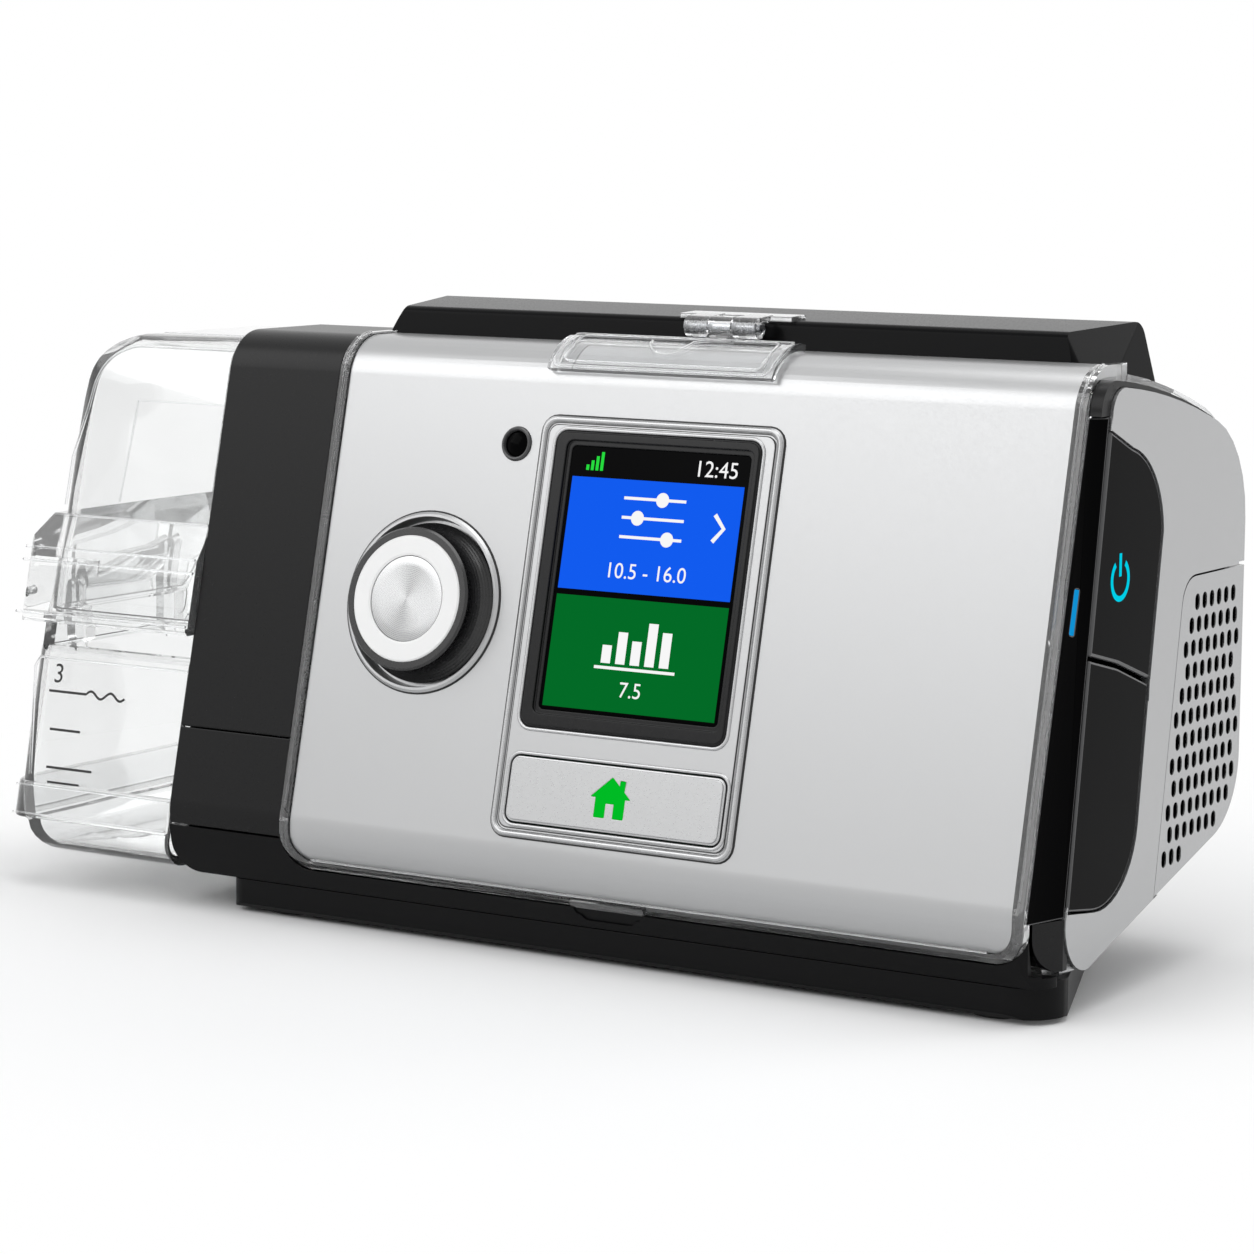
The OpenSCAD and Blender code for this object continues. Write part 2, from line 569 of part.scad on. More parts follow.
module hinge_pin() color("#c9cdd1") along_x(hinge_x - 1.5 * knuckle_w - 0.3, hinge_x + 1.5 * knuckle_w + 0.3)
    translate([hinge_y, hinge_z]) circle(r = pin_r, $fn = 48);

// Right-hand side: strip, gloss panel with a door, side cover and filter grille

// Ridge between the front strip and the side face, as depth at height z
function ridge_y(z) = 13 + (z - 10.9) * 0.161;
function front_y(z, h = 0) = z * tan(lean) - h / cos(lean);
strip_z1 = 7.4;
strip_z2 = 100;
strip_x1 = x_trim_r + gap;
// Four-sided bar between two level sections, each a list of four [x, y]
module bar(low, z1, high, z2) polyhedron(
    points = concat([for (p = low) [p[0], p[1], z1]], [for (p = high) [p[0], p[1], z2]]),
    faces = concat([[0, 1, 2, 3], [7, 6, 5, 4]], [for (i = [0:3]) [i, i + 4, (i + 1) % 4]],
                   [for (i = [0:3]) [i + 4, (i + 1) % 4 + 4, (i + 1) % 4]]));
function strip_sec(z) = [[strip_x1, front_y(z) + 0.3], [side_x - 0.4, ridge_y(z)],
    [side_x - 2.2, ridge_y(z) + 0.1], [strip_x1, ridge_y(z) + 0.1]];
module strip_part(z1, z2) bar(strip_sec(z1), z1, strip_sec(z2), z2);
light_z = [60, 68.6];
module side_strip() color("#131315") difference() {
    strip_part(strip_z1, strip_z2);
    light_bar(0, 1.3);
}
module light_bar(g, inward) translate([strip_x1 + 1.2, front_y(light_z[0]) + 2.9, light_z[0] - g])
    rotate([-lean, 0, 0]) rotate([0, 0, 65]) translate([-0.55 - g, -1, 0])
        cube([1.1 + 2 * g, 1 + inward, light_z[1] - light_z[0] + 2 * g]);
module status_light() color("#1793d8") intersection() {
    light_bar(-0.02, 1.2);
    strip_part(strip_z1, strip_z2);
}
// Rounded lobe at the low front corner of the side cover, and the curve at its high front corner
lobe_r = 9.6;
lobe_c = [under_y, under_z + lobe_r];
brow_r = 5.3;
brow_c = [case_front_y, top_at(case_front_y) - brow_r];
cap_x2 = side_x - 0.7;
module strip_cap_upper() color("#18181a") along_x(strip_x1, cap_x2) polygon(concat(
    [[front_y(strip_z2) + 0.4, strip_z2 + gap]], arc_pts([30.5, 100.6], 6.1, 178, 83, 8),
    [for (i = [1:6]) let (y = 31.2 + i * 7.4) [y, top_at(y) + 1.25 - i * 0.12]],
    [[75.6, top_at(75.6) + 0.15]], crown_pts(72, brow_c[0], 0.15, 8),
    arc_pts(brow_c, brow_r + gap, 100, 180, 8),
    [[brow_c[0] - brow_r - gap, strip_z2 + gap]]));
module strip_cap_lower() color("#18181a") difference() {
    intersection() {
        along_x(strip_x1, side_x - 0.4) polygon(concat([[14, strip_z1 - gap], [base_front, strip_z1 - gap]],
            arc_pts([12.2, 4.6], 7.2, 180, 270, 8), [[14, -2.6]]));
        linear_extrude(40, center = true) polygon([[strip_x1, base_front], [side_x - 0.4, 12],
            [side_x - 0.4, 15], [strip_x1, 15]]);
    }
    along_x(x_side_in - gap, side_x + 1) translate(lobe_c) circle(r = lobe_r + gap, $fn = 72);
}

// Outline of the gloss panel, from the ridge round the back
gloss_top = concat(arc_pts([33.5, 75.5], 18.6, 4, 78, 10), [[27.6, 97.6]]);
gloss_low = arc_pts([26.6, 23.2], 16.6, 352, 262, 10);
seam_y = [19.6, 47.4];
seam_z = [55.8, 48.2];
seam_drop = 0.8;
module gloss_upper2d() polygon(concat([[seam_y[0] + 1, seam_z[0]], [33, 52.9], [seam_y[1], seam_z[1]]],
    gloss_top));
module gloss_lower2d(g = 0) polygon(concat([[ridge_y(9) + 0.7 - g, 8.4 - g],
    [ridge_y(54) + 0.7 - g, seam_z[0] - seam_drop + g], [33, 52.9 - seam_drop + g], [seam_y[1] - 0.6 + g, seam_z[1] - seam_drop + g]],
    [for (p = gloss_low) p + g * [cos(45), -sin(45)]]));
gloss_t = 1.8;
module gloss_panel() color("#0f0f12") along_x(side_x - 0.2 - gloss_t, side_x - 0.2) gloss_upper2d();
module card_door() color("#151518") union() {
    along_x(side_x - 0.2 - gloss_t, side_x - 0.2) gloss_lower2d();
    along_x(side_x - 0.2 - gloss_t - 1.2, side_x - 0.2 - gloss_t)
        polygon([[32, 44], [38, 43], [38, 41.5], [32, 42.5]]);
}
module side_outline() polygon(concat([[ridge_y(12) + 0.7, 12]], arc_pts(lobe_c, lobe_r, 152, 270),
    [for (i = [2:len(case_path()) - 1]) case_path()[i]], arc_pts(brow_c, brow_r, 84, 180, 8),
    [[ridge_y(90) + 0.7, 90]]));
filter_pts = concat([[51.6, under_at(51.6) + 0.3]], arc_pts(under_c, r_under, 270 + under_rise, 360),
    [[case_d, 66.2]], arc_pts([67.6, 60.2], 6, 90, 172, 6));
module side_cover() color("#c7c8ca") difference() {
    union() {
        along_x(x_side_in, side_x) side_outline();
        along_x(x_skirt, x_side_in) polygon(concat(case_path(0), flip(case_path(case_t))));
    }
    along_x(x_side_in - 1, side_x + 1) union() {
        gloss_upper2d();
        gloss_lower2d(0.4);
        translate([-0.3, 0]) gloss_upper2d();
        polygon([[seam_y[0], 50], [seam_y[0], 57], [30, 57], [seam_y[1], 51], [seam_y[1] - 0.4, 44],
            [30, 48]]);
    }
    along_x(x_side_in - 1, side_x + 1) polygon([for (p = filter_pts)
        p + move_gap * (p - [72, 36]) / norm(p - [72, 36])]);
    translate([x_side_in - 1.2, case_d - 2.6, 6]) cube([4, 5, 61]);
    translate([strip_x1 - gap, 0, -10]) cube([x_side_in - strip_x1 + gap, 14.2, 12]);
}
function in_filter(y, z) = y > 54.8 + (z - 8) * 0.17 && y < case_d - 2.2 && z < 64
    && z > under_at(y) + 3.2 && norm([y, z] - under_c) < (y > under_c[0] && z < under_c[1] ? 13.4 : 99)
    && (y > 68 || z < 61);
module stadium(w, l) union() {
    square([w, l - w], center = true);
    for (s = [-1, 1]) translate([0, s * (l - w) / 2]) circle(d = w, $fn = 20);
}
module filter_cover() color("#cfd0d2") along_x(side_x - 1.7, side_x) difference() {
    polygon(filter_pts);
    for (row = [0:12]) for (col = [0:13]) {
        z = 7 + row * row_pitch;
        slant = row * 0.7 - floor(row * 0.7 / slot_pitch) * slot_pitch;
        y = 53.4 + col * slot_pitch + (row % 2) * slot_pitch / 2 + slant;
        if (in_filter(y, z)) translate([y, z]) stadium(slot_w, slot_l);
    }
}
module air_filter() color("#e9e9e4") along_x(166.2, x_side_in - 0.6) polygon([[58, 11.6], [76, 16.4],
    [82.6, 21], [86.4, 29], [86.4, 60], [70, 62], [66.4, 58]]);
socket_x = [146, 163];
module card_socket() color("#5b5e63") difference() {
    translate([socket_x[0], 24, 26]) cube([socket_x[1] - socket_x[0], 5, 26]);
    translate([socket_x[0] + 2, 25.2, 27.4]) cube([30, 2.6, 23.2]);
}
module memory_card() color("#222a44") translate([socket_x[0] + 2.6, 25.5, 27.8]) difference() {
    cube([16.6, 2, 22.4]);
    translate([-1, -1, 20.4]) rotate([0, -45, 0]) cube([4, 4, 4]);
}

// Inside: boards, blower and ducts

module main_board() color("#1f6b3a") difference() {
    translate([20, 82, 24]) cube([92, 1.6, 58]);
    for (x = [25, 107], z = [28, 78]) translate([x, 80, z]) rotate([-90, 0, 0])
        cylinder(h = 6, r = 1.6, $fn = 24);
}
module power_inlet() color("#202226") translate([inlet_x, 0, inlet_z]) rotate([-90, 0, 0]) difference() {
    union() {
        translate([0, 0, 76]) cylinder(h = case_d - 76, r = 6, $fn = 48);
        translate([0, 0, case_d]) cylinder(h = 1.2, r = 7.4, $fn = 48);
        translate([-8, -8, 74]) cube([16, 16, 6]);
    }
    translate([0, 0, case_d - 10.8]) cylinder(h = 20, r = inlet_r, $fn = 48);
}
pad_spots = [for (a = [90, 210, 330]) [blow_x + 17 * cos(a), blow_y + 17 * sin(a)]];
pad_h = blow_z - boss_top;
module blower_pads() color("#2a2a2d") for (p = pad_spots) translate([p[0], p[1], boss_top])
    rotate_extrude($fn = 40) polygon([[0, 0], [5, 0], [5, 2], [3.6, pad_h / 2 - 1], [3.6, pad_h / 2 + 1],
        [5, pad_h - 2], [5, pad_h], [0, pad_h]]);
module scroll2d(g)
    polygon([for (i = [0:36]) let (a = i * 10, r = 19 + 5 * i / 36 - g) r * [cos(a), -sin(a)]]);
blow_base_h = 18;
blow_lid_h = 8;
wheel_z = blow_z + 9;
nozzle_x = 90;
nozzle_r = 7.4;
duct_end = 96.6;
module blower_base() color("#d9dadb") difference() {
    union() {
        translate([blow_x, blow_y, blow_z]) linear_extrude(blow_base_h) scroll2d(-1);
        translate([nozzle_x, duct_y, duct_z]) rotate([0, 90, 0])
            cylinder(h = blow_x - 6 - nozzle_x, r = nozzle_r, $fn = 48);
    }
    translate([blow_x, blow_y, blow_z + 2]) linear_extrude(blow_base_h) scroll2d(1);
    translate([nozzle_x - 1, duct_y, duct_z]) rotate([0, 90, 0])
        cylinder(h = blow_x - 5 - nozzle_x, r = nozzle_r - 1.6, $fn = 48);
}
module blower_lid() color("#cfd0d2") translate([blow_x, blow_y, blow_z + blow_base_h]) difference() {
    linear_extrude(blow_lid_h) scroll2d(-1);
    translate([0, 0, -1]) linear_extrude(blow_lid_h - 1) scroll2d(1);
    cylinder(h = 30, r = 9, $fn = 48);
}
axle_r = 1.5;
module motor() color("#7d8085") translate([blow_x, blow_y, blow_z + 2]) union() {
    cylinder(h = 5.5, r = 11, $fn = 48);
    cylinder(h = 13, r = axle_r, $fn = 32);
}
module impeller() color("#3f6fa8") translate([blow_x, blow_y, wheel_z]) difference() {
    union() {
        cylinder(h = 1, r = 16, $fn = 64);
        cylinder(h = 6, r = 4, $fn = 48);
        for (i = [0:10]) rotate([0, 0, i * 360 / 11]) translate([9.4, 0, 0.9]) rotate([0, 0, 38])
            translate([-5.6, -0.5, 0]) cube([11.2, 1, 5.2]);
    }
    translate([0, 0, -1]) cylinder(h = 10, r = axle_r + run, $fn = 32);
}
module air_duct() color("#55585c") translate([x_case, duct_y, duct_z]) rotate([0, 90, 0])
    tube(duct_r, nozzle_r + run, duct_end - x_case);
elbow_r = 10;
module duct_run(r) union() {
    translate([x_case, duct_y, port_z]) rotate([0, 90, 0])
        cylinder(h = port_x - elbow_r - x_case, r = r, $fn = 48);
    translate([port_x - elbow_r, duct_y + elbow_r, port_z]) rotate([0, 0, -90])
        rotate_extrude(angle = 90, $fn = 48) translate([elbow_r, 0]) circle(r = r, $fn = 48);
    translate([port_x, duct_y + elbow_r, port_z]) rotate([-90, 0, 0])
        cylinder(h = outlet_end - duct_y - elbow_r, r = r, $fn = 48);
}
module humid_duct() color("#35373b") difference() {
    union() {
        duct_run(duct_r);
        translate([port_x, case_d - outlet_in, port_z]) rotate([-90, 0, 0])
            cylinder(h = outlet_in + 1, r = outlet_root_r, $fn = 64);
        translate([port_x, outlet_y1, port_z]) rotate([-90, 0, 0])
            cylinder(h = outlet_end - outlet_y1, r = outlet_r, $fn = 64);
    }
    duct_run(duct_r - duct_wall);
    translate([port_x, outlet_end - 5, port_z]) rotate([-90, 0, 0])
        cylinder(h = 10, r = duct_r - duct_wall, $fn = 48);
    translate([x_case - 1, duct_y, port_z]) rotate([0, 90, 0])
        cylinder(h = 3, r = duct_r - duct_wall, $fn = 48);
}

// Face that the tub docks on, with two raised port rims and the heater

rim_l = 0.4;
heater = [18, 4, 58, 34];
module dock_outline() polygon(concat(case_path(0), [front_pt(102, -3), front_pt(12, -3), [chin_back, 2]]));
module dock_face() color("#1a1a1c") difference() {
    union() {
        along_x(x_dock, x_case) dock_outline();
        for (z = [duct_z, port_z]) translate([x_dock - rim_l, duct_y, z]) rotate([0, 90, 0])
            cylinder(h = rim_l + 0.5, r = duct_r, $fn = 48);
    }
    for (z = [duct_z, port_z]) translate([x_dock - 20, duct_y, z]) rotate([0, 90, 0])
        cylinder(h = 40, r = duct_r - duct_wall, $fn = 48);
    along_x(x_dock - 1, x_case + 1) polygon(rr_pts(heater, 3));
}
module heater_plate() color("#b9bcc0") union() {
    along_x(x_dock - 0.2, x_case) polygon(rr_pts(heater, 2.9, 0.1));
    along_x(x_case, x_case + 3) polygon(rr_pts(heater, 2.9, 3));
}

// Clear water tub and its lid

// Basin, shoulder and neck of the tub: curve at its low left, then heights and setback of the neck
basin_c = [-63, 4.2];
basin_r = 9;
shoulder_z = 37.8;
neck_z = 39;
neck_in = 1.2;
rim_z = rim_v * cos(lean);
// Front view of the tub inset by t, up to the height top
function tub_outline(t, top) = concat([[tub_x2 - t, basin_c[1] - basin_r + t]],
    arc_pts(basin_c, basin_r - t, 270, 196, 6), [[-72.6 + t, 2.2], [-75.3 + t, 11], [tub_x1 + t, 35.1],
    [tub_x1 + 0.4 + t, shoulder_z], [neck_x + t, neck_z], [neck_x + t, top], [tub_x2 - t, top]]);
// Side view of the tub inset by t
foot_c = [front_y(basin_c[1] - basin_r + 5, -tub_back - 5), basin_c[1] - basin_r + 5];
function tub_side(t, top) = concat([[front_y(top, -tub_back - neck_in - t), top],
    [front_y(neck_z, -tub_back - neck_in - t), neck_z], [front_y(shoulder_z, -tub_back - t), shoulder_z]],
    arc_pts(foot_c, 5 - t, front_a, 270, 6),
    arc_pts([tub_y2 - 9, basin_c[1] - basin_r + 9], 9 - t, 270, 360, 6),
    [[tub_y2 - t, shoulder_z], [tub_y2 - neck_in - t, neck_z], [tub_y2 - neck_in - t, top]]);
// Leaning prism with a rounded front left corner at x1, the distance d behind the front plane
module corner_prism(x1, d, r) on_front(0, -30) rotate([-90, 0, 0]) linear_extrude(170)
    polygon(concat([[0, 140], [x1, 140]], arc_pts([x1 + r, d + r], r, 180, 270, 6), [[0, d]]));
module tub_form(t, top) intersection() {
    along_x(-100, tub_x2 - t) polygon(tub_side(t, top));
    along_y(-20, 120) polygon(tub_outline(t, top));
    corner_prism(tub_x1 + t, tub_back + t, 6 - t);
}
// Front and side view of the lid inset by t, with its right end at x2
lid_corner_r = 14;
function lid_outline(t, x2) = concat([[x2, 0], [lid_x1 + t, 0], [lid_x1 + t, 67.7], [lid_x1 + 2.8 + t, 91]],
    arc_pts([lid_x1 + 3.2 + lid_corner_r, lid_top - lid_corner_r], lid_corner_r - t, 174, 90, 8),
    [[x2, lid_top - t]]);
lid_front_c = [front_y(lid_top - 8, -tub_back - 8), lid_top - 8];
function lid_side(t) = concat([[front_y(20, -tub_back - t), 20], [tub_y2 - t, 20]],
    arc_pts([tub_y2 - 9, lid_top - 9], 9 - t, 0, 90, 6), arc_pts(lid_front_c, 8 - t, 90, front_a, 6));
module lid_form(t, x2) intersection() {
    along_x(-100, x2) polygon(lid_side(t));
    along_y(-20, 120) polygon(lid_outline(t, x2));
    corner_prism(lid_x1 + t, tub_back + t, 6 - t);
}
module slab(z1, z2) translate([-110, -20, z1]) cube([110, 140, z2 - z1]);
module tub_body() color([0.86, 0.9, 0.93, 0.3]) difference() {
    union() {
        tub_form(0, rim_z);
        for (y = ear_y) along_y(y, y + ear_w) polygon([[neck_x + 0.6, 34], [neck_x + 0.6, rim_z - 0.4],
            [lid_axis_x + 1.6, rim_z + 0.4], [lid_axis_x + 1.6, lid_axis_z], [lid_axis_x - 1.4, lid_axis_z],
            [lid_axis_x - 1.4, neck_z], [tub_x1, 35.1]]);
        translate([lid_axis_x, ear_y[0], lid_axis_z]) rotate([-90, 0, 0])
            cylinder(h = ear_y[1] + ear_w - ear_y[0], r = hinge_bore, $fn = 32);
    }
    tub_form(tub_t, rim_z + 5);
}
module tub_foot_band() color([0.86, 0.9, 0.93, 0.3]) difference() {
    intersection() {
        along_x(tub_x1, tub_x2) polygon(tub_side(-foot_out, rim_z));
        slab(band_z[0], band_z[1]);
        corner_prism(tub_x1, tub_back - foot_out, 6);
    }
    tub_form(-0.05, rim_z);
    translate([tub_x2 - 1, foot_c[0], -10]) cube([2, tub_y2 - foot_c[0] - 4, 60]);
}
module tub_lid() color([0.88, 0.92, 0.95, 0.28]) difference() {
    intersection() {
        lid_form(0, tub_x2);
        slab(rim_z + 1.2, 130);
    }
    lid_form(tub_t, tub_x2 - tub_t);
    for (z = [duct_z, port_z]) translate([tub_x2 - tub_t - 1, duct_y, z]) rotate([0, 90, 0])
        cylinder(h = 6, r = duct_r - duct_wall, $fn = 48);
}
module tub_seal() color("#dfe3e6") difference() {
    intersection() {
        lid_form(0.8, tub_x2 - 0.8);
        slab(rim_z + 0.5, rim_z + 1.2);
    }
    lid_form(2.4, tub_x2 - 2.4);
}
// Clip round the joint of tub and lid: heights of its lip, its wall and its slanted top, then how far
// it stands out in front and at the back, and the inside of its left wall over the hinge
clip_z = [44.4, 45.4, 59.2, 67.9];
clip_h = 1.4;
clip_back = 2.6;
clip_wall_x = lid_axis_x - 1.9;
clip_wall_z = 46;
clip_solid_z = 58;
clip_front_y = front_y(clip_z[1], -tub_back) + 0.4;
module clip_solid() intersection() {
    along_x(-tub_reach, tub_x2) polygon([[front_y(clip_z[0], 0.4), clip_z[0]],
        [front_y(clip_z[1], clip_h), clip_z[1]],
        front_pt(61.5, clip_h), front_pt(70, -tub_back), [tub_y2, clip_z[3]], [tub_y2 + clip_back, clip_z[2]],
        [tub_y2 + clip_back, clip_z[1]], [tub_y2 + clip_back - 1, clip_z[0]]]);
    along_y(-20, 120) polygon([[tub_x2 - 0.6, clip_z[0]], [2.4 - tub_reach, clip_z[0]],
        [0.8 - tub_reach, clip_z[1] - 0.2], [-tub_reach, 46.8], [-tub_reach, clip_z[2]], [lid_x1, clip_z[3]],
        [tub_x2, clip_z[3]], [tub_x2, clip_wall_z],
        [tub_x2 - 0.6, clip_wall_z]]);
    corner_prism(-tub_reach, -clip_h, 6);
}
module tub_clip() color([0.86, 0.9, 0.93, 0.32]) difference() {
    union() {
        difference() {
            clip_solid();
            lid_form(-0.05, -10);
            translate([clip_wall_x, clip_front_y + 1.6, 0])
                cube([20, tub_y2 - clip_front_y - 1.6, clip_solid_z]);
            translate([-tub_reach - 1, clip_front_y, 0]) cube([20, tub_y2 - clip_front_y, clip_wall_z]);
            front_plate(clip_h - 0.5, clip_h + 2) polygon(rr_pts([-79.4, 50, tub_x2 - 1.6, 56.5], 2));
        }
        translate([lid_axis_x, ear_y[0] + ear_w + move_gap, lid_axis_z]) rotate([-90, 0, 0])
            cylinder(h = ear_y[1] - ear_y[0] - ear_w - 2 * move_gap, r = 1.98, $fn = 40);
    }
    translate([lid_axis_x, 0, lid_axis_z]) rotate([-90, 0, 0])
        cylinder(h = 90, r = hinge_bore + run, $fn = 40);
    for (y = ear_y) translate([-tub_reach - 1, y - move_gap, 0])
        cube([tub_reach + 1 + lid_x1 - 0.2, ear_w + 2 * move_gap, clip_solid_z - 0.8]);
}

seat() base_tray();
seat() feet();
seat() bottom_case();
seat() rear_case();
seat() case_screws();
seat() chin_lip();
seat() spine_cover();
seat() band_upper();
seat() band_plate();
seat() fascia();
seat() fascia_trim();
seat() cover_bead();
seat() display_surround();
seat() screen_bezel();
seat() screen_window();
seat() lcd_module();
seat() control_board();
seat() sensor_ring();
seat() light_sensor();
seat() dial_seat();
seat() encoder_body();
seat() encoder_sleeve();
seat() dial_shaft();
seat() dial_skirt();
seat() dial_ring();
seat() dial_cap();
seat() home_button();
seat() button_icon();
seat() button_switch();
seat() label_card();
seat() label_flap();
seat() hinge_leaf();
seat() hinge_pin();
seat() side_strip();
seat() strip_cap_upper();
seat() strip_cap_lower();
seat() status_light();
seat() gloss_panel();
seat() card_door();
seat() card_socket();
seat() memory_card();
seat() side_cover();
seat() filter_cover();
seat() air_filter();
seat() main_board();
seat() power_inlet();
seat() blower_base();
seat() blower_lid();
seat() blower_pads();
seat() motor();
seat() impeller();
seat() air_duct();
seat() humid_duct();
seat() dock_face();
seat() heater_plate();
seat() tub_body();
seat() tub_foot_band();
seat() tub_lid();
seat() tub_clip();
seat() tub_seal();
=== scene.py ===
"""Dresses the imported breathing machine: rounded copies of its solids, their materials, the screen's marks,
thin beads on the clear parts, the photograph's camera and a plain white studio."""

import json
import math
import bmesh
import bpy
from mathutils import Matrix, Vector


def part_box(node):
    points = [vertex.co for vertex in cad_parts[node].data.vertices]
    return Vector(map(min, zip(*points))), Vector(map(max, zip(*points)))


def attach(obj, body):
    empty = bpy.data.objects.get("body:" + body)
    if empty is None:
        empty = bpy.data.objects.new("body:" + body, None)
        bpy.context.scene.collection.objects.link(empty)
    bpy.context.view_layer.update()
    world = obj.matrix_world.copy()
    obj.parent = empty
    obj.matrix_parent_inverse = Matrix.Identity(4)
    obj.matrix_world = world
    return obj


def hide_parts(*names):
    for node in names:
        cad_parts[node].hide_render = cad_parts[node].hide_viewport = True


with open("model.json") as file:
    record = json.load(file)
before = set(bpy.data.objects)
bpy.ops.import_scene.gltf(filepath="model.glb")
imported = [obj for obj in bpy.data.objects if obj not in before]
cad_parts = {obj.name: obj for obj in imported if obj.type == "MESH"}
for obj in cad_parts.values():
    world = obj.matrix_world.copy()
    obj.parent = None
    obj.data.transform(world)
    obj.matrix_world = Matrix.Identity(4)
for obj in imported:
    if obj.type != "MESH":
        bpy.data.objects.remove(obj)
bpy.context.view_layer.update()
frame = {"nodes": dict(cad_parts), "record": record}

# Lengths are in mm of the device frame: x from the silver panel's left edge, y back and z up from the foot
# of its front plane. On the front, u runs along it, v up it and h out of it.
MM = 0.001
LEAN = math.radians(13.4)
SHIFT = Vector((45.75, 56.497, -12.4))

# Centres of the panel's curves over the top and under the foot, in y and z
TOP_CURVE = (33.83, 98.85)
FOOT_CURVE = (16.17, 7.46)
# The dial's axis, in u and v
DIAL = (26.3, 57.4)


def up_front(v, h):
    """The y and z of a point v up the leaning front plane and h in front of it."""
    return v * math.sin(LEAN) - h * math.cos(LEAN), v * math.cos(LEAN) + h * math.sin(LEAN)


def at(x, y, z):
    """A point of the device frame in the model's metres."""
    return (Vector((x, y, z)) - SHIFT) * MM


def front_matrix(u, v, h=0.0):
    """Placing of a piece drawn flat in x and y onto the front plane."""
    matrix = Matrix.Rotation(math.radians(90) - LEAN, 4, "X")
    matrix.translation = at(u, *up_front(v, h))
    return matrix


def side_matrix(x):
    """Placing of a piece drawn flat in y and z onto the right-hand face at x."""
    matrix = Matrix(((0, 0, 1, 0), (1, 0, 0, 0), (0, 1, 0, 0), (0, 0, 0, 1)))
    matrix.translation = at(x, 0, 0)
    return matrix


def add_object(name, data):
    """A new object in the scene."""
    added = bpy.data.objects.new(name, data)
    bpy.context.scene.collection.objects.link(added)
    return added


# Materials


NOISE_MIDDLE = (0.3, 0.7)
SIDE_PAINT = (0.46, 0.463, 0.467)
SIDE_ROUGH = 0.24
# How deep into the slots of the filter's cover the side paint goes; below that the slots are painted near
# black as painted shade
SHADE_START_DEPTH = 0.35


class Paint:
    """A Principled material and short ways to add its procedural detail."""

    def __init__(self, name, colour, rough, metallic=0.0, **sockets):
        self.material = bpy.data.materials.new(name)
        self.material.use_nodes = True
        self.nodes = self.material.node_tree.nodes
        self.links = self.material.node_tree.links
        self.shader = self.nodes["Principled BSDF"]
        self.colour = colour
        self.rough = rough
        self.set(Base_Color=(*colour, 1.0), Roughness=rough, Metallic=metallic, **sockets)

    def set(self, **sockets):
        """Sets the shader's own sockets, with an underscore for each space in a name."""
        for socket, value in sockets.items():
            self.shader.inputs[socket.replace("_", " ")].default_value = value

    def own_place(self):
        """The piece's own coordinates."""
        return self.nodes.new("ShaderNodeTexCoord").outputs["Object"]

    def noise(self, scale, detail=3.0, stretch=(1, 1, 1)):
        """Noise over the piece's own coordinates, scale in features a metre."""
        mapping = self.nodes.new("ShaderNodeMapping")
        mapping.inputs["Scale"].default_value = stretch
        texture = self.nodes.new("ShaderNodeTexNoise")
        texture.inputs["Scale"].default_value = scale
        texture.inputs["Detail"].default_value = detail
        self.links.new(self.own_place(), mapping.inputs["Vector"])
        self.links.new(mapping.outputs["Vector"], texture.inputs["Vector"])
        return texture.outputs["Fac"]

    def ramp(self, value, start, end, low=0.0, high=1.0, smooth=False):
        """The value's range from start to end carried onto low to high."""
        node = self.nodes.new("ShaderNodeMapRange")
        if smooth:
            node.interpolation_type = "SMOOTHSTEP"
        node.inputs["From Min"].default_value = start
        node.inputs["From Max"].default_value = end
        node.inputs["To Min"].default_value = low
        node.inputs["To Max"].default_value = high
        self.links.new(value, node.inputs["Value"])
        return node.outputs["Result"]

    def spread(self, value, low, high):
        """The noise's middle range spread from low to high."""
        return self.ramp(value, *NOISE_MIDDLE, low, high)

    def blend(self, factor, low, high):
        """Colour between low and high, each a colour or a socket."""
        node = self.nodes.new("ShaderNodeMix")
        node.data_type = "RGBA"
        for slot, colour in (("A", low), ("B", high)):
            if isinstance(colour, tuple):
                node.inputs[slot].default_value = (*colour, 1.0)
            else:
                self.links.new(colour, node.inputs[slot])
        self.links.new(factor, node.inputs["Factor"])
        return node.outputs["Result"]

    def flecked(self, scale, amount):
        """The base colour varied by the amount up and down."""
        darker = tuple(c * (1 - amount) for c in self.colour)
        lighter = tuple(min(1.0, c * (1 + amount)) for c in self.colour)
        return self.blend(self.spread(self.noise(scale), 0.0, 1.0), darker, lighter)

    def vary_colour(self, scale, amount):
        self.links.new(self.flecked(scale, amount), self.shader.inputs["Base Color"])

    def vary_rough(self, scale, amount):
        value = self.spread(self.noise(scale), self.rough - amount, self.rough + amount)
        self.links.new(value, self.shader.inputs["Roughness"])

    def grain(self, scale, depth, detail=2.0, stretch=(1, 1, 1)):
        """Moulded or painted grain as bump, with the depth in mm."""
        bump = self.nodes.new("ShaderNodeBump")
        bump.inputs["Strength"].default_value = 1.0
        bump.inputs["Distance"].default_value = depth * MM
        self.links.new(self.noise(scale, detail, stretch), bump.inputs["Height"])
        self.links.new(bump.outputs["Normal"], self.shader.inputs["Normal"])


def clear(name, tint, edge, ior, see_through):
    """Clear moulded plastic with faint flow marks, greyer where it is seen edge on."""
    edge_on = 0.7
    made = Paint(name, tint, 0.0, IOR=ior, Transmission_Weight=see_through,
                 Coat_Weight=1.0, Coat_Roughness=0.03, Coat_IOR=1.45)
    facing = made.nodes.new("ShaderNodeLayerWeight")
    facing.inputs["Blend"].default_value = 0.5
    rim = made.ramp(facing.outputs["Facing"], edge_on, 1.0, smooth=True)
    colour = made.blend(rim, made.flecked(60, 0.012), edge)
    made.links.new(colour, made.shader.inputs["Base Color"])
    return made.material


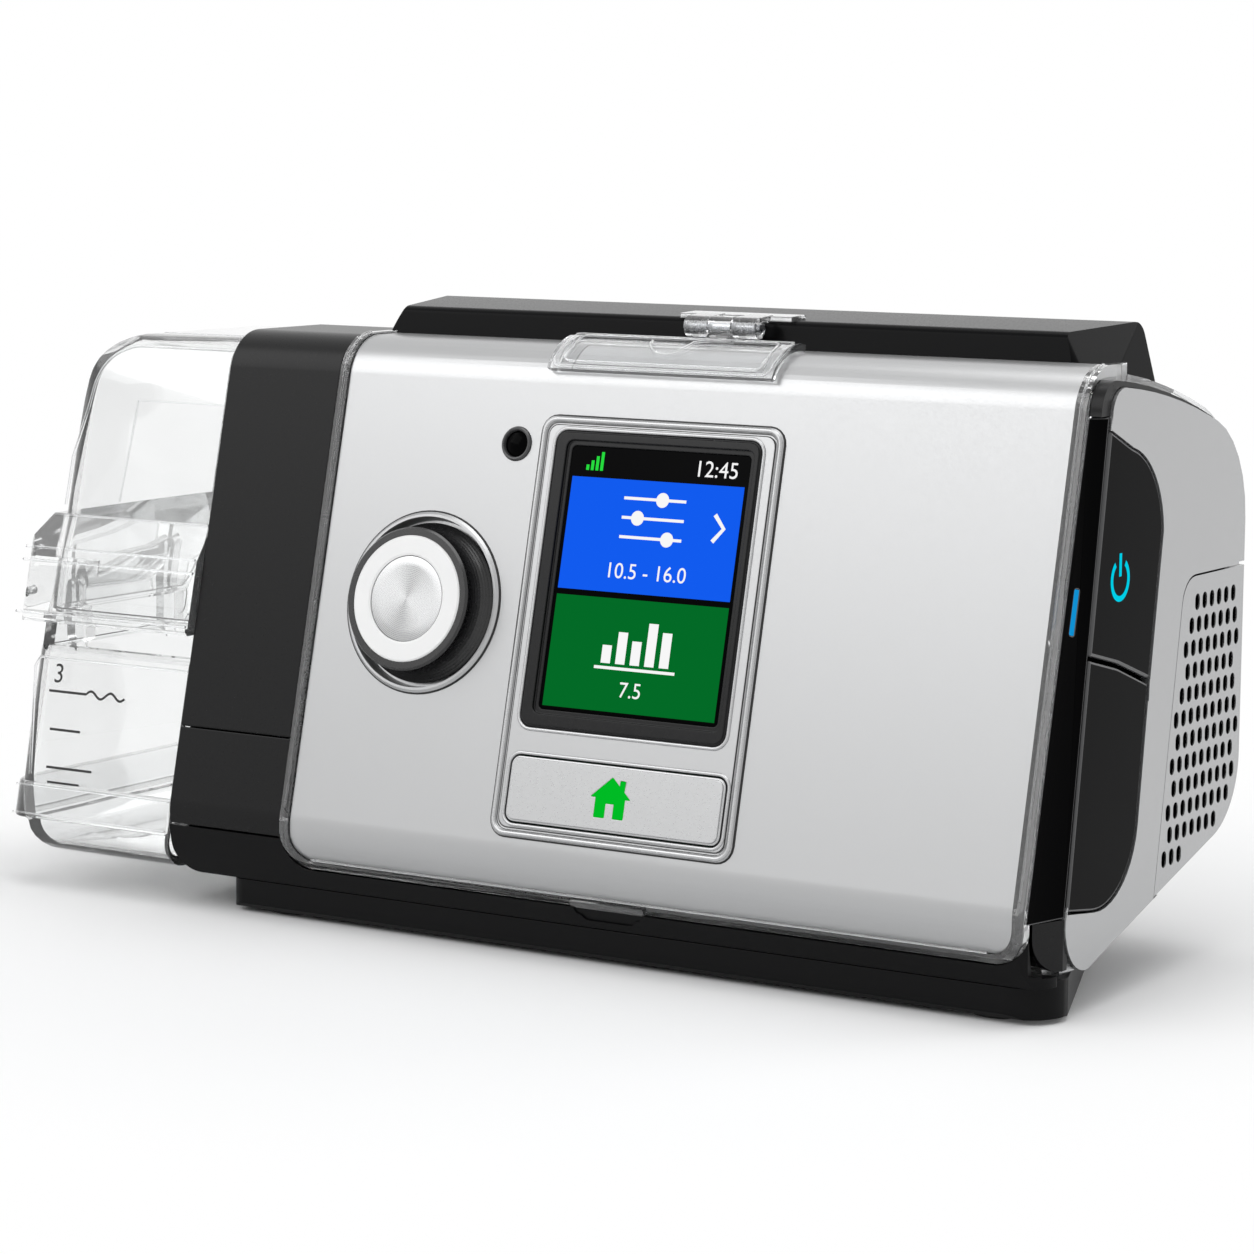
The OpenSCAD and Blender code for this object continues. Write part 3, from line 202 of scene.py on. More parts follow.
def lit(name, colour, strength, rough=0.3):
    """A lit mark behind glass, slightly uneven."""
    made = Paint(name, (0.0, 0.0, 0.0), rough, Specular_IOR_Level=0.0,
                 Emission_Color=(*colour, 1.0), Emission_Strength=strength)
    made.vary_rough(400, 0.05)
    return made.material


def paint_with_shaded_slots(name, colour, skin_x):
    """The side paint on the outer skin, and near black painted shade in the slots below it, with x in metres.
    """
    # Near black painted in the slots below the skin, painted shade
    slot_shade = (0.004, 0.004, 0.004)
    skin_depth = 0.05 * MM
    made = Paint(name, colour, SIDE_ROUGH, 0.85)
    axes = made.nodes.new("ShaderNodeSeparateXYZ")
    made.links.new(made.own_place(), axes.inputs["Vector"])
    skin = made.ramp(axes.outputs["X"], skin_x, skin_x + skin_depth)
    made.links.new(made.blend(skin, slot_shade, colour), made.shader.inputs["Base Color"])
    made.vary_rough(260, 0.02)
    return made.material


def spun_metal():
    """Turned metal: fine rings round the dial's axis that spread each highlight into a fan."""
    made = Paint("spun_metal", (0.47, 0.473, 0.477), 0.27, 1.0, Anisotropic=0.85)
    tangent = made.nodes.new("ShaderNodeTangent")
    tangent.direction_type = "RADIAL"
    tangent.axis = "Z"
    made.links.new(tangent.outputs["Tangent"], made.shader.inputs["Tangent"])
    rings = made.nodes.new("ShaderNodeTexWave")
    rings.wave_type = "RINGS"
    rings.rings_direction = "Z"
    rings.inputs["Scale"].default_value = 900
    rings.inputs["Distortion"].default_value = 0.4
    made.links.new(made.own_place(), rings.inputs["Vector"])
    rough = made.spread(rings.outputs["Fac"], 0.24, 0.30)
    made.links.new(rough, made.shader.inputs["Roughness"])
    return made.material


def paint(name, colour, rough, metallic=0.0, uneven=None, flecks=None, grain=None, **sockets):
    """A material with its uneven gloss and flecks, each a scale and an amount, and its grain as in Paint."""
    made = Paint(name, colour, rough, metallic, **sockets)
    if flecks:
        made.vary_colour(*flecks)
    if uneven:
        made.vary_rough(*uneven)
    if grain:
        made.grain(*grain)
    return made.material


# Paints and metals
SILVER = paint("silver_paint", (0.43, 0.433, 0.437), 0.33, 0.85, (2600, 0.05), grain=(9000, 0.003))
KEY = paint("key_paint", (0.46, 0.463, 0.467), 0.3, 0.85, (2600, 0.04), grain=(9000, 0.003))
GREY = paint("side_paint", SIDE_PAINT, SIDE_ROUGH, 0.85, (260, 0.02))
# The cover's slots are painted near black below the skin, painted shade
SLOTTED = paint_with_shaded_slots("filter_paint_and_slot_shade", SIDE_PAINT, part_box("filter_cover")[1][0] - SHADE_START_DEPTH * MM)
CARD = paint("card_silver", (0.58, 0.585, 0.59), 0.4, 0.6, (2600, 0.05))
# Light colour for the side cover's rounded edges, a painted highlight
SIDE_RIM_HIGHLIGHT = paint("side_rim_painted_highlight", (0.82, 0.822, 0.825), 0.2, 0.7, (300, 0.03))
STEEL = paint("plain_steel", (0.55, 0.56, 0.58), 0.28, 1.0, (1500, 0.08))
HEATER = paint("heater_metal", (0.7, 0.71, 0.72), 0.3, 1.0, (1200, 0.08),
               grain=(3000, 0.004, 2.0, (1, 12, 1)))
SPUN = spun_metal()

# Plain plastics
BLACK = paint("black_satin", (0.004, 0.004, 0.0043), 0.3, uneven=(2400, 0.03), grain=(9000, 0.0015),
              Specular_IOR_Level=0.19)
SPINE = paint("spine_black", (0.003, 0.003, 0.0033), 0.24, uneven=(2400, 0.03), Specular_IOR_Level=0.05)
CASE = paint("case_black", (0.004, 0.004, 0.0043), 0.34, uneven=(2400, 0.03), grain=(9000, 0.002),
             Specular_IOR_Level=0.1)
GLOSS = paint("gloss_black", (0.001, 0.001, 0.0012), 0.1, uneven=(60, 0.02), Specular_IOR_Level=0.02)
BEZEL = paint("bezel_black", (0.004, 0.004, 0.0045), 0.25, uneven=(900, 0.03), grain=(9000, 0.001),
              Specular_IOR_Level=0.25)
SKIRT = paint("skirt_black", (0.006, 0.006, 0.0065), 0.26, uneven=(900, 0.03), grain=(9000, 0.001),
              Specular_IOR_Level=0.6)
# Lighter than the gloss black, for the gloss parts' rounded edges: a painted highlight, with higher real
# gloss
GLOSS_RIM_HIGHLIGHT = paint("gloss_rim_painted_highlight", (0.05, 0.05, 0.052), 0.2, uneven=(300, 0.03), Specular_IOR_Level=0.6)
WHITE = paint("ring_white", (0.88, 0.88, 0.875), 0.35, uneven=(900, 0.04), grain=(5000, 0.002))
SENSOR = paint("sensor_grey", (0.05, 0.05, 0.052), 0.3, uneven=(900, 0.04))
# Black for printed marks, and for dark beads that are painted shadow in gaps
INK_AND_SHADE = paint("mark_ink_and_painted_shade", (0.004, 0.004, 0.004), 0.5, uneven=(900, 0.05))
RUBBER = paint("rubber_black", (0.012, 0.012, 0.012), 0.7, uneven=(700, 0.06), grain=(3000, 0.02))

# What stands inside
DARK = paint("dark_part", (0.03, 0.032, 0.036), 0.5, uneven=(900, 0.05), grain=(3000, 0.01))
BOARD = paint("board_green", (0.01, 0.11, 0.04), 0.4, flecks=(700, 0.3))
HOUSING = paint("blower_white", (0.7, 0.7, 0.69), 0.45, uneven=(900, 0.05), grain=(3000, 0.01))
WHEEL = paint("wheel_blue", (0.04, 0.13, 0.36), 0.4, uneven=(900, 0.05))
# The filter is painted near black as painted shade seen through the cover's slots; its flecks and grain are
# its texture
SHADED_FLEECE = paint("filter_fleece_painted_shade", (0.004, 0.004, 0.004), 0.95, flecks=(1800, 0.5), grain=(1600, 0.25, 6.0),
               Specular_IOR_Level=0.1)

# Clear parts and lit marks
GLASS = paint("screen_glass", (0.0005, 0.0005, 0.0007), 0.12, uneven=(40, 0.02), Specular_IOR_Level=0.02)
TUB = clear("tub_clear", (0.98, 0.985, 0.985), (0.42, 0.43, 0.44), 1.3, 0.97)
TRIM = clear("trim_clear", (0.95, 0.955, 0.96), (0.48, 0.49, 0.50), 1.35, 0.97)
EDGE = clear("edge_bead", (0.93, 0.935, 0.94), (0.06, 0.062, 0.065), 1.45, 0.95)
GREEN = lit("icon_green", (0.0, 0.55, 0.02), 0.9)
BLUE_LIGHT = lit("light_blue", (0.005, 0.28, 0.64), 1.0)
TILE_BLUE = lit("tile_blue", (0.006, 0.105, 0.86), 1.0, 0.2)
TILE_GREEN = lit("tile_green", (0.001, 0.145, 0.020), 1.0, 0.2)
MARK_WHITE = lit("mark_white", (0.93, 0.93, 0.93), 1.0, 0.2)
MARK_GREEN = lit("mark_green", (0.02, 0.72, 0.05), 1.0, 0.2)
MARK_CYAN = lit("mark_cyan", (0.0, 0.62, 0.80), 1.0, 0.2)

FINISH = {
    "base_tray": CASE, "feet": RUBBER, "bottom_case": CASE, "rear_case": CASE, "case_screws": STEEL,
    "chin_lip": CASE, "spine_cover": SPINE, "band_upper": BLACK, "band_plate": BLACK, "cover_bead": TRIM,
    "fascia": SILVER, "fascia_trim": TRIM, "display_surround": SILVER, "screen_bezel": BEZEL,
    "screen_window": GLASS, "lcd_module": DARK, "control_board": BOARD, "sensor_ring": SENSOR,
    "light_sensor": GLOSS, "dial_seat": SILVER, "encoder_body": DARK, "encoder_sleeve": STEEL,
    "dial_shaft": STEEL, "dial_skirt": SKIRT, "dial_ring": WHITE, "dial_cap": SPUN, "home_button": KEY,
    "button_icon": GREEN, "button_switch": DARK, "label_card": CARD, "label_flap": TRIM, "hinge_leaf": TRIM,
    "hinge_pin": STEEL, "side_strip": GLOSS, "strip_cap_upper": BLACK, "strip_cap_lower": BLACK,
    "status_light": BLUE_LIGHT, "gloss_panel": GLOSS, "card_door": GLOSS, "card_socket": DARK,
    "memory_card": DARK, "side_cover": GREY, "filter_cover": SLOTTED, "air_filter": SHADED_FLEECE,
    "main_board": BOARD, "power_inlet": DARK, "blower_base": HOUSING, "blower_lid": HOUSING,
    "blower_pads": RUBBER, "motor": STEEL, "impeller": WHEEL, "air_duct": DARK, "humid_duct": BLACK,
    "dock_face": CASE, "heater_plate": HEATER, "tub_body": TUB, "tub_foot_band": TUB, "tub_lid": TUB,
    "tub_clip": TUB, "tub_seal": TRIM,
}
for node, material in FINISH.items():
    slots = frame["nodes"][node].data.materials
    if len(slots) == 0:
        slots.append(material)
    for slot in range(len(slots)):
        slots[slot] = material


# Rounded copies of the solids


# Width of each copy's rounded edges
SOFT = {
    "fascia": 0.35, "display_surround": 0.2, "screen_bezel": 0.25, "home_button": 0.3, "band_upper": 0.4,
    "band_plate": 0.25, "chin_lip": 0.4, "cover_bead": 0.8, "spine_cover": 0.9, "base_tray": 0.8,
    "side_cover": 0.9, "gloss_panel": 0.7, "card_door": 0.7, "filter_cover": 0.3, "side_strip": 0.4,
    "strip_cap_upper": 0.5, "strip_cap_lower": 0.8, "fascia_trim": 0.4, "label_flap": 0.3,
    "hinge_leaf": 0.3, "tub_body": 0.6, "tub_foot_band": 0.6, "tub_lid": 0.7, "tub_clip": 0.7,
    "rear_case": 0.4, "bottom_case": 0.4, "humid_duct": 0.5, "dock_face": 0.3, "feet": 0.3,
}
# The rounded edges of these get a lighter colour than their faces, a painted highlight
HIGHLIGHT_RIMS = {"side_cover": SIDE_RIM_HIGHLIGHT, "gloss_panel": GLOSS_RIM_HIGHLIGHT, "card_door": GLOSS_RIM_HIGHLIGHT, "side_strip": GLOSS_RIM_HIGHLIGHT}
# Outlines drawn in short straight steps, which are rounded first, and the turns that count as such steps
STEPPED = ("gloss_panel", "card_door", "side_cover", "strip_cap_upper", "strip_cap_lower")
STEP_TURNS = (math.radians(3), math.radians(40))
STEP_WIDTH = 0.9
ROUND_SEGMENTS = 3
SHARP = math.radians(30)
FLAT = math.radians(0.4)
WELD = 0.002
FACE_WEIGHT = 80


def body_of_node(node):
    return next(body for body, nodes in frame["record"]["behaviour"]["bodies"].items() if node in nodes)


def is_step(edge):
    """An edge along x between two faces of a stepped outline."""
    along = edge.verts[1].co - edge.verts[0].co
    if abs(along.x) <= 0.999 * along.length:
        return False
    return STEP_TURNS[0] < edge.calc_face_angle(0.0) < STEP_TURNS[1]


def cleaned(node):
    """The node's mesh in the model's place, with its flat faces joined and its stepped outline rounded."""
    source = frame["nodes"][node]
    bm = bmesh.new()
    bm.from_mesh(source.data)
    bmesh.ops.transform(bm, matrix=source.matrix_world, verts=bm.verts)
    bmesh.ops.remove_doubles(bm, verts=bm.verts, dist=WELD * MM)
    bmesh.ops.dissolve_limit(bm, angle_limit=FLAT, verts=bm.verts, edges=bm.edges)
    if node in STEPPED:
        steps = [edge for edge in bm.edges if is_step(edge)]
        bmesh.ops.bevel(bm, geom=steps, offset=STEP_WIDTH * MM, offset_type="OFFSET",
                        segments=ROUND_SEGMENTS, profile=0.5, affect="EDGES", clamp_overlap=True)
    mesh = bpy.data.meshes.new(node + "_soft")
    bm.to_mesh(mesh)
    bm.free()
    mesh.shade_smooth()
    return mesh


def soften(node, width):
    """A copy of a node with its sharp edges rounded, which stands for the node."""
    piece = add_object(node + "_soft", cleaned(node))
    piece.data.materials.append(FINISH[node])
    bevel = piece.modifiers.new("round", "BEVEL")
    bevel.width = width * MM
    bevel.segments = ROUND_SEGMENTS
    bevel.limit_method = "ANGLE"
    bevel.angle_limit = SHARP
    bevel.miter_outer = "MITER_ARC"
    bevel.use_clamp_overlap = True
    # Rounded edges take the lighter material, a painted highlight
    if node in HIGHLIGHT_RIMS:
        piece.data.materials.append(HIGHLIGHT_RIMS[node])
        bevel.material = 1
    normals = piece.modifiers.new("normals", "WEIGHTED_NORMAL")
    normals.keep_sharp = False
    normals.weight = FACE_WEIGHT
    mesh = evaluated_mesh(piece)
    piece.modifiers.clear()
    piece.data = mesh
    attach(piece, body_of_node(node))
    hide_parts(node)


def evaluated_mesh(piece):
    """The mesh of a piece after its modifiers, or of a curve or text."""
    graph = bpy.context.evaluated_depsgraph_get()
    return bpy.data.meshes.new_from_object(piece.evaluated_get(graph))


for node, width in SOFT.items():
    soften(node, width)


# Ways to draw the pieces that only the scene has


def new_piece(name, mesh, material, body, matrix=None):
    piece = add_object(name, mesh)
    piece.data.materials.append(material)
    if matrix is not None:
        piece.matrix_world = matrix
    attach(piece, body)
    return piece


def mesh_of(name, curve):
    """The mesh of a curve or text, which leaves no object behind."""
    source = add_object(name + "_curve", curve)
    mesh = evaluated_mesh(source)
    bpy.data.objects.remove(source)
    return mesh


def arc(cx, cy, radius, start, end, steps=12):
    """Points of an arc, with its angles in degrees."""
    turns = [math.radians(start + (end - start) * i / steps) for i in range(steps + 1)]
    return [(cx + radius * math.cos(a), cy + radius * math.sin(a)) for a in turns]


def circle(cx, cy, radius, steps):
    return arc(cx, cy, radius, 0, 360, steps)[:-1]


def box(x1, y1, x2, y2):
    return [(x1, y1), (x2, y1), (x2, y2), (x1, y2)]


def round_box(x1, y1, x2, y2, r):
    return (arc(x1 + r, y1 + r, r, 180, 270, 5) + arc(x2 - r, y1 + r, r, 270, 360, 5)
            + arc(x2 - r, y2 - r, r, 0, 90, 5) + arc(x1 + r, y2 - r, r, 90, 180, 5))


def stroke(points, width):
    """A line of even width along the points, as one outline."""
    left, right = [], []
    for i, (x, y) in enumerate(points):
        ax, ay = points[max(i - 1, 0)]
        bx, by = points[min(i + 1, len(points) - 1)]
        length = math.hypot(bx - ax, by - ay)
        nx, ny = -(by - ay) / length * width / 2, (bx - ax) / length * width / 2
        left.append((x + nx, y + ny))
        right.append((x - nx, y - ny))
    return left + right[::-1]


def drawn(name, outlines, material, body, matrix):
    """Flat marks, one face for each outline."""
    verts, faces = [], []
    for outline in outlines:
        faces.append(list(range(len(verts), len(verts) + len(outline))))
        verts += [(x * MM, y * MM, 0.0) for x, y in outline]
    mesh = bpy.data.meshes.new(name)
    mesh.from_pydata(verts, [], faces)
    new_piece(name, mesh, material, body, matrix)


def number(name, digits, size, material, body, matrix):
    """A plain number, centred on the matrix, size mm high."""
    text = bpy.data.curves.new(name + "_curve", "FONT")
    text.body = digits
    text.size = size * MM
    text.align_x = "CENTER"
    text.align_y = "CENTER"
    new_piece(name, mesh_of(name, text), material, body, matrix)


def bead(name, points, radius, material, body, closed=False):
    """A round bead along points of the device frame."""
    curve = bpy.data.curves.new(name + "_curve", "CURVE")
    curve.dimensions = "3D"
    curve.bevel_depth = radius * MM
    curve.bevel_resolution = 3
    curve.use_fill_caps = True
    spline = curve.splines.new("POLY")
    spline.points.add(len(points) - 1)
    for knot, point in zip(spline.points, points):
        knot.co = (*at(*point), 1.0)
    spline.use_cyclic_u = closed
    mesh = mesh_of(name, curve)
    mesh.shade_smooth()
    new_piece(name, mesh, material, body)


def on_face(outline, h):
    """An outline in u and v carried onto the front plane."""
    return [(u, *up_front(v, h)) for u, v in outline]


def around(x, centre, reach, turn):
    """Point at x and the reach from a centre in y and z, with the turn in degrees from the back upwards."""
    angle = math.radians(turn)
    return (x, centre[0] + reach * math.cos(angle), centre[1] + reach * math.sin(angle))


# Screen: a status strip and two tiles with plain marks

TILE_H = 0.13
MARK_H = 0.16
TILES = front_matrix(0, 0, TILE_H)
MARKS = front_matrix(0, 0, MARK_H)
TILE_U = (58.6, 98.8)
drawn("tile_blue", [box(TILE_U[0], 62.8, TILE_U[1], 85.5)], TILE_BLUE, "case", TILES)
drawn("tile_green", [box(TILE_U[0], 39.0, TILE_U[1], 61.6)], TILE_GREEN, "case", TILES)
signal = [box(61.6 + 1.1 * i, 86.9, 62.3 + 1.1 * i, 88.0 + 0.9 * i) for i in range(4)]
drawn("signal_bars", signal, MARK_GREEN, "case", TILES)
number("clock", "12:45", 4.6, MARK_WHITE, "case", front_matrix(92.0, 88.4, TILE_H))

# Three sliders, each a line with a knob on it, over a number in the upper tile
KNOB_R = 1.5
KNOB_GAP = 1.4
LINE_HALF = 0.3
SLIDER_U = (71.5, 86.0)
sliders = []
for row, knob in ((81.8, 80.5), (77.9, 75.2), (74.0, 82.6)):
    sliders += [box(SLIDER_U[0], row - LINE_HALF, knob - KNOB_GAP, row + LINE_HALF),
                box(knob + KNOB_GAP, row - LINE_HALF, SLIDER_U[1], row + LINE_HALF),
                circle(knob, row, KNOB_R, 24)]
drawn("sliders", sliders, MARK_WHITE, "case", MARKS)
drawn("chevron", [stroke([(93.0, 79.7), (95.3, 77.0), (93.0, 74.3)], 0.9)], MARK_WHITE, "case", MARKS)
TILE_MIDDLE = sum(TILE_U) / 2
number("upper_number", "10.5 - 16.0", 4.4, MARK_WHITE, "case", front_matrix(TILE_MIDDLE, 67.0, MARK_H))

# A bar chart over a number in the lower tile
CHART_FOOT = 48.6
BAR_HEIGHTS = (3.6, 6.4, 4.8, 8.6, 7.0)
bars = [box(71.0 + 3.4 * i, CHART_FOOT, 73.2 + 3.4 * i, CHART_FOOT + high)
        for i, high in enumerate(BAR_HEIGHTS)]
drawn("bar_chart", bars + [box(69.6, 47.4, 88.4, 48.0)], MARK_WHITE, "case", MARKS)
number("lower_number", "7.5", 4.4, MARK_WHITE, "case", front_matrix(TILE_MIDDLE, 43.4, MARK_H))

# Lit standby mark on the gloss panel: a ring that is open at the top, and a bar in the gap
MARK_Y, MARK_Z = 33.0, 69.0
ring = arc(MARK_Y, MARK_Z, 4.2, 125, 415, 40) + arc(MARK_Y, MARK_Z, 3.1, 415, 125, 40)
gap_bar = box(MARK_Y - 0.55, 69.6, MARK_Y + 0.55, 74.0)
drawn("standby_mark", [ring, gap_bar], MARK_CYAN, "case", side_matrix(173.36))

# Level marks on the tub: a line that ends in a wave, a number and three ticks
INK_H = -1.95
LEVEL_V = 30.9
WAVE_U = -60.5
wave = [(u, LEVEL_V + 0.75 * math.sin((u - WAVE_U) * 1.15)) for u in [WAVE_U + 0.4 * i for i in range(1, 28)]]
level_line = stroke([(-71.0, LEVEL_V), (WAVE_U, LEVEL_V)] + wave, 0.55)
ticks = [box(-69.3, 22.3, -60.7, 22.85), box(-68.8, 14.0, -56.0, 14.55), box(-68.0, 10.75, -59.0, 11.3)]
drawn("level_top", [level_line], INK_AND_SHADE, "tub", front_matrix(0, 0, INK_H))
drawn("level_ticks", ticks, INK_AND_SHADE, "tub", front_matrix(0, 0, INK_H))
number("level_number", "3", 6.0, INK_AND_SHADE, "tub", front_matrix(-68.8, 34.6, INK_H))


# Moulded beads that edge the tub

TUB_X2 = -33.2
TUB_H = -1.9
LID_ROUND_Z = 99.0
LID_ROUND_R = 8.0


def on_tub(x, z, h):
    """Point of the tub's front at height z and h in front of the front plane."""
    return (x, z * math.tan(LEAN) - h / math.cos(LEAN), z)


def over_lid(x, z):
    """Point of the lid's front, which rounds over to its top."""
    if z < LID_ROUND_Z + LID_ROUND_R * math.sin(LEAN):
        return on_tub(x, z, TUB_H)
    centre_y = on_tub(x, LID_ROUND_Z, -10.0)[1]
    reach = LID_ROUND_R + 0.1
    return (x, centre_y - math.sqrt(max(0.0, reach ** 2 - (z - LID_ROUND_Z) ** 2)), z)


inner = [(-73.6, 69.5), (-73.4, 80.0), (-70.9, 91.0)] + arc(-59.0, 93.0, 11.4, 172, 90) + [(TUB_X2, 104.4)]
bead("lid_inner_line", [over_lid(x, z) for x, z in inner], 0.32, EDGE, "lid")
side_heights = (69.5, 85.0, 99.0, 101.0, 102.5, 103.7)
bead("lid_side_line", [over_lid(TUB_X2, z) for z in side_heights], 0.32, EDGE, "lid")
bead("lid_top_line", [on_tub(x, 106.9, -9.8) for x in (-59.0, TUB_X2)], 0.25, EDGE, "lid")
baffle = [(-64.0, 70.0), (-62.5, 92.0), (-36.0, 92.0), (-35.0, 70.0)]
bead("lid_baffle", [on_tub(x, z, -9.0) for x, z in baffle], 0.25, EDGE, "lid")
# The clip's ledges: height, how far each stands out and where it starts
ledges = ((46.4, 1.35, -80.6), (57.6, 1.4, -80.6), (60.4, 1.2, -80.4), (67.4, -1.7, -76.0))
for index, (z, h, x1) in enumerate(ledges):
    bead("clip_line_%d" % index, [on_tub(x1, z, h), on_tub(TUB_X2, z, h)], 0.3, EDGE, "lid")
body_line = [(TUB_X2, 36.6), (-74.6, 36.6), (-75.7, 34.6), (-73.0, 11.5)]
bead("body_line", [on_tub(x, z, TUB_H) for x, z in body_line], 0.32, EDGE, "tub")
for index, z in enumerate((3.4, 9.4)):
    bead("foot_line_%d" % index, [on_tub(x, z, -1.05) for x in (-75.6, TUB_X2)], 0.2, EDGE, "tub")


# Rolled rims of the display's frame, and dark beads beside them as painted shadow in the gaps

for name, outline, corner, h, radius, material in (
        ("frame_rim", (50.75, 12.75, 105.85, 96.85), 2.9, 0.35, 0.55, KEY),
        ("frame_gap", (50.0, 12.0, 106.6, 97.6), 3.5, 0.02, 0.24, INK_AND_SHADE),
        ("frame_line", (51.95, 13.95, 104.65, 95.65), 2.0, 0.32, 0.16, INK_AND_SHADE),
        ("screen_rim", (53.55, 33.95, 102.45, 95.05), 3.0, 0.42, 0.42, KEY),
        ("key_rim", (52.9, 14.5, 104.3, 29.1), 2.6, 0.42, 0.4, KEY)):
    bead(name, on_face(round_box(*outline, corner), h), radius, material, "case", True)


# Edge lines of the panel's clear trim

for name, u in (("trim_line_right", 168.8), ("trim_line_left", -1.2)):
    up_face = on_face([(u, v) for v in (12.0, 55.0, 100.0, 104.0)], 0.5)
    over_top = [around(u, TOP_CURVE, 10.5, turn) for turn in range(158, 90, -8)]
    bead(name, up_face + over_top, 0.32, EDGE, "case")
bead("trim_line_foot", [around(x, FOOT_CURVE, 14.5, 205) for x in (5.0, 162.0)], 0.3, EDGE, "case")
# A dark bead round the dial's seat, painted shadow in its gap
bead("dial_seat_gap", on_face(circle(*DIAL, 18.85, 72), 0.03), 0.22, INK_AND_SHADE, "case", True)


# Edges of the flap, which follows the panel's upper curve

FLAP_REACH = 11.9
MM_PER_DEGREE = math.radians(1) * FLAP_REACH


def on_flap(x, turn):
    """Point of the flap's outer skin at a turn in degrees."""
    return around(x, TOP_CURVE, FLAP_REACH, turn)


def flap_frame(x1, x2, low, high, r):
    """Rounded rectangle on the flap, low and high being turns in degrees."""
    inset = r / MM_PER_DEGREE
    corners = ((x2 - r, low - inset, 270), (x2 - r, high + inset, 0), (x1 + r, high + inset, 90),
               (x1 + r, low - inset, 180))
    points = []
    for cx, middle, start in corners:
        for step in range(5):
            angle = math.radians(start + step * 22.5)
            points.append(on_flap(cx + r * math.cos(angle), middle - r * math.sin(angle) / MM_PER_DEGREE))
    return points


bead("flap_rim", flap_frame(50.9, 101.6, 150, 84, 2.0), 0.3, EDGE, "flap", True)
bead("flap_window", flap_frame(53.2, 99.3, 143, 96, 1.4), 0.25, EDGE, "flap", True)
thumb = []
for turn in range(0, 181, 12):
    angle = math.radians(turn)
    thumb.append(on_flap(75.5 - 4.8 * math.cos(angle), 106 + 22 * math.sin(angle)))
thumb += [on_flap(81.8, 101), on_flap(84.0, 99), on_flap(88.0, 98)]
bead("flap_thumb", thumb, 0.28, EDGE, "flap")


# The dial's turned disc

CAP_R = 8.85
CAP_EDGE = 0.25
CAP_RISE = 1.0
CAP_TURNS = 96


def spun_disc(name):
    """Mesh of a turned disc with a rounded rim, on the axis of its own z."""
    profile = [(CAP_R, 0.0), (CAP_R, CAP_RISE - CAP_EDGE)]
    for turn in (22, 45, 68, 90):
        angle = math.radians(turn)
        profile.append((CAP_R - CAP_EDGE + CAP_EDGE * math.cos(angle),
                        CAP_RISE - CAP_EDGE + CAP_EDGE * math.sin(angle)))
    profile += [(CAP_R * share, CAP_RISE) for share in (0.75, 0.5, 0.25)]
    turns = [2 * math.pi * i / CAP_TURNS for i in range(CAP_TURNS)]
    verts = [(r * math.cos(a) * MM, r * math.sin(a) * MM, h * MM) for r, h in profile for a in turns]
    around_once = [(i, (i + 1) % CAP_TURNS) for i in range(CAP_TURNS)]
    faces = []
    for row in range(0, (len(profile) - 1) * CAP_TURNS, CAP_TURNS):
        faces += [(row + i, row + j, row + CAP_TURNS + j, row + CAP_TURNS + i) for i, j in around_once]
    last = (len(profile) - 1) * CAP_TURNS
    verts += [(0, 0, CAP_RISE * MM), (0, 0, 0)]
    top, bottom = len(verts) - 2, len(verts) - 1
    faces += [(last + i, last + j, top) for i, j in around_once]
    faces += [(j, i, bottom) for i, j in around_once]
    mesh = bpy.data.meshes.new(name)
    mesh.from_pydata(verts, [], faces)
    mesh.shade_smooth()
    return mesh


cap = new_piece("spun_cap", spun_disc("spun_cap"), SPUN, "dial", front_matrix(*DIAL, 5.1))
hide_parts("dial_cap")


# Camera of the photograph, found by least squares from the object's straight edges

SENSOR_WIDTH = 36.0
FRAME_PX = 1254
FOCAL_PX = 3796.5
CAMERA_PLACE = (474.63, -617.32, 156.38)
YAW, PITCH, ROLL = math.radians(32.31), math.radians(7.77), math.radians(0.35)

camera_data = bpy.data.cameras.new("camera")
camera_data.sensor_width = SENSOR_WIDTH
camera_data.lens = FOCAL_PX / FRAME_PX * SENSOR_WIDTH
camera_data.clip_start = 0.01
camera = add_object("camera", camera_data)
back = Vector((math.sin(YAW) * math.cos(PITCH), -math.cos(YAW) * math.cos(PITCH), math.sin(PITCH)))
right = Vector((math.cos(YAW), math.sin(YAW), 0.0))
up = back.cross(right)
rolled_right = right * math.cos(ROLL) + up * math.sin(ROLL)
rolled_up = up * math.cos(ROLL) - right * math.sin(ROLL)
view = Matrix((rolled_right, rolled_up, back)).transposed().to_4x4()
view.translation = at(*CAMERA_PLACE)
camera.matrix_world = view
bpy.context.scene.camera = camera


# Studio, in metres

SEEN_WHITE = ("Is Camera Ray", "Is Glossy Ray", "Is Transmission Ray")
AMBIENT = 0.48
FLOOR_HALF = 6.0
# Lit paper near the machine fades into plain white between these distances
FADE = (0.11, 0.27)


def area_light(name, place, target, size, power):
    light = bpy.data.lights.new(name, "AREA")
    light.shape = "RECTANGLE"
    light.size, light.size_y = size
    light.energy = power
    lamp = add_object(name, light)
    lamp.location = place
    lamp.rotation_euler = (Vector(target) - Vector(place)).to_track_quat("-Z", "Y").to_euler()


def rays_that_see_white(nodes, links):
    """One where such a ray looks, and zero elsewhere."""
    path = nodes.new("ShaderNodeLightPath")
    total = path.outputs[SEEN_WHITE[0]]
    for kind in SEEN_WHITE[1:]:
        larger = nodes.new("ShaderNodeMath")
        larger.operation = "MAXIMUM"
        links.new(total, larger.inputs[0])
        links.new(path.outputs[kind], larger.inputs[1])
        total = larger.outputs["Value"]
    return total


def background(nodes, colour, strength):
    node = nodes.new("ShaderNodeBackground")
    node.inputs["Color"].default_value = (*colour, 1)
    node.inputs["Strength"].default_value = strength
    return node.outputs["Background"]


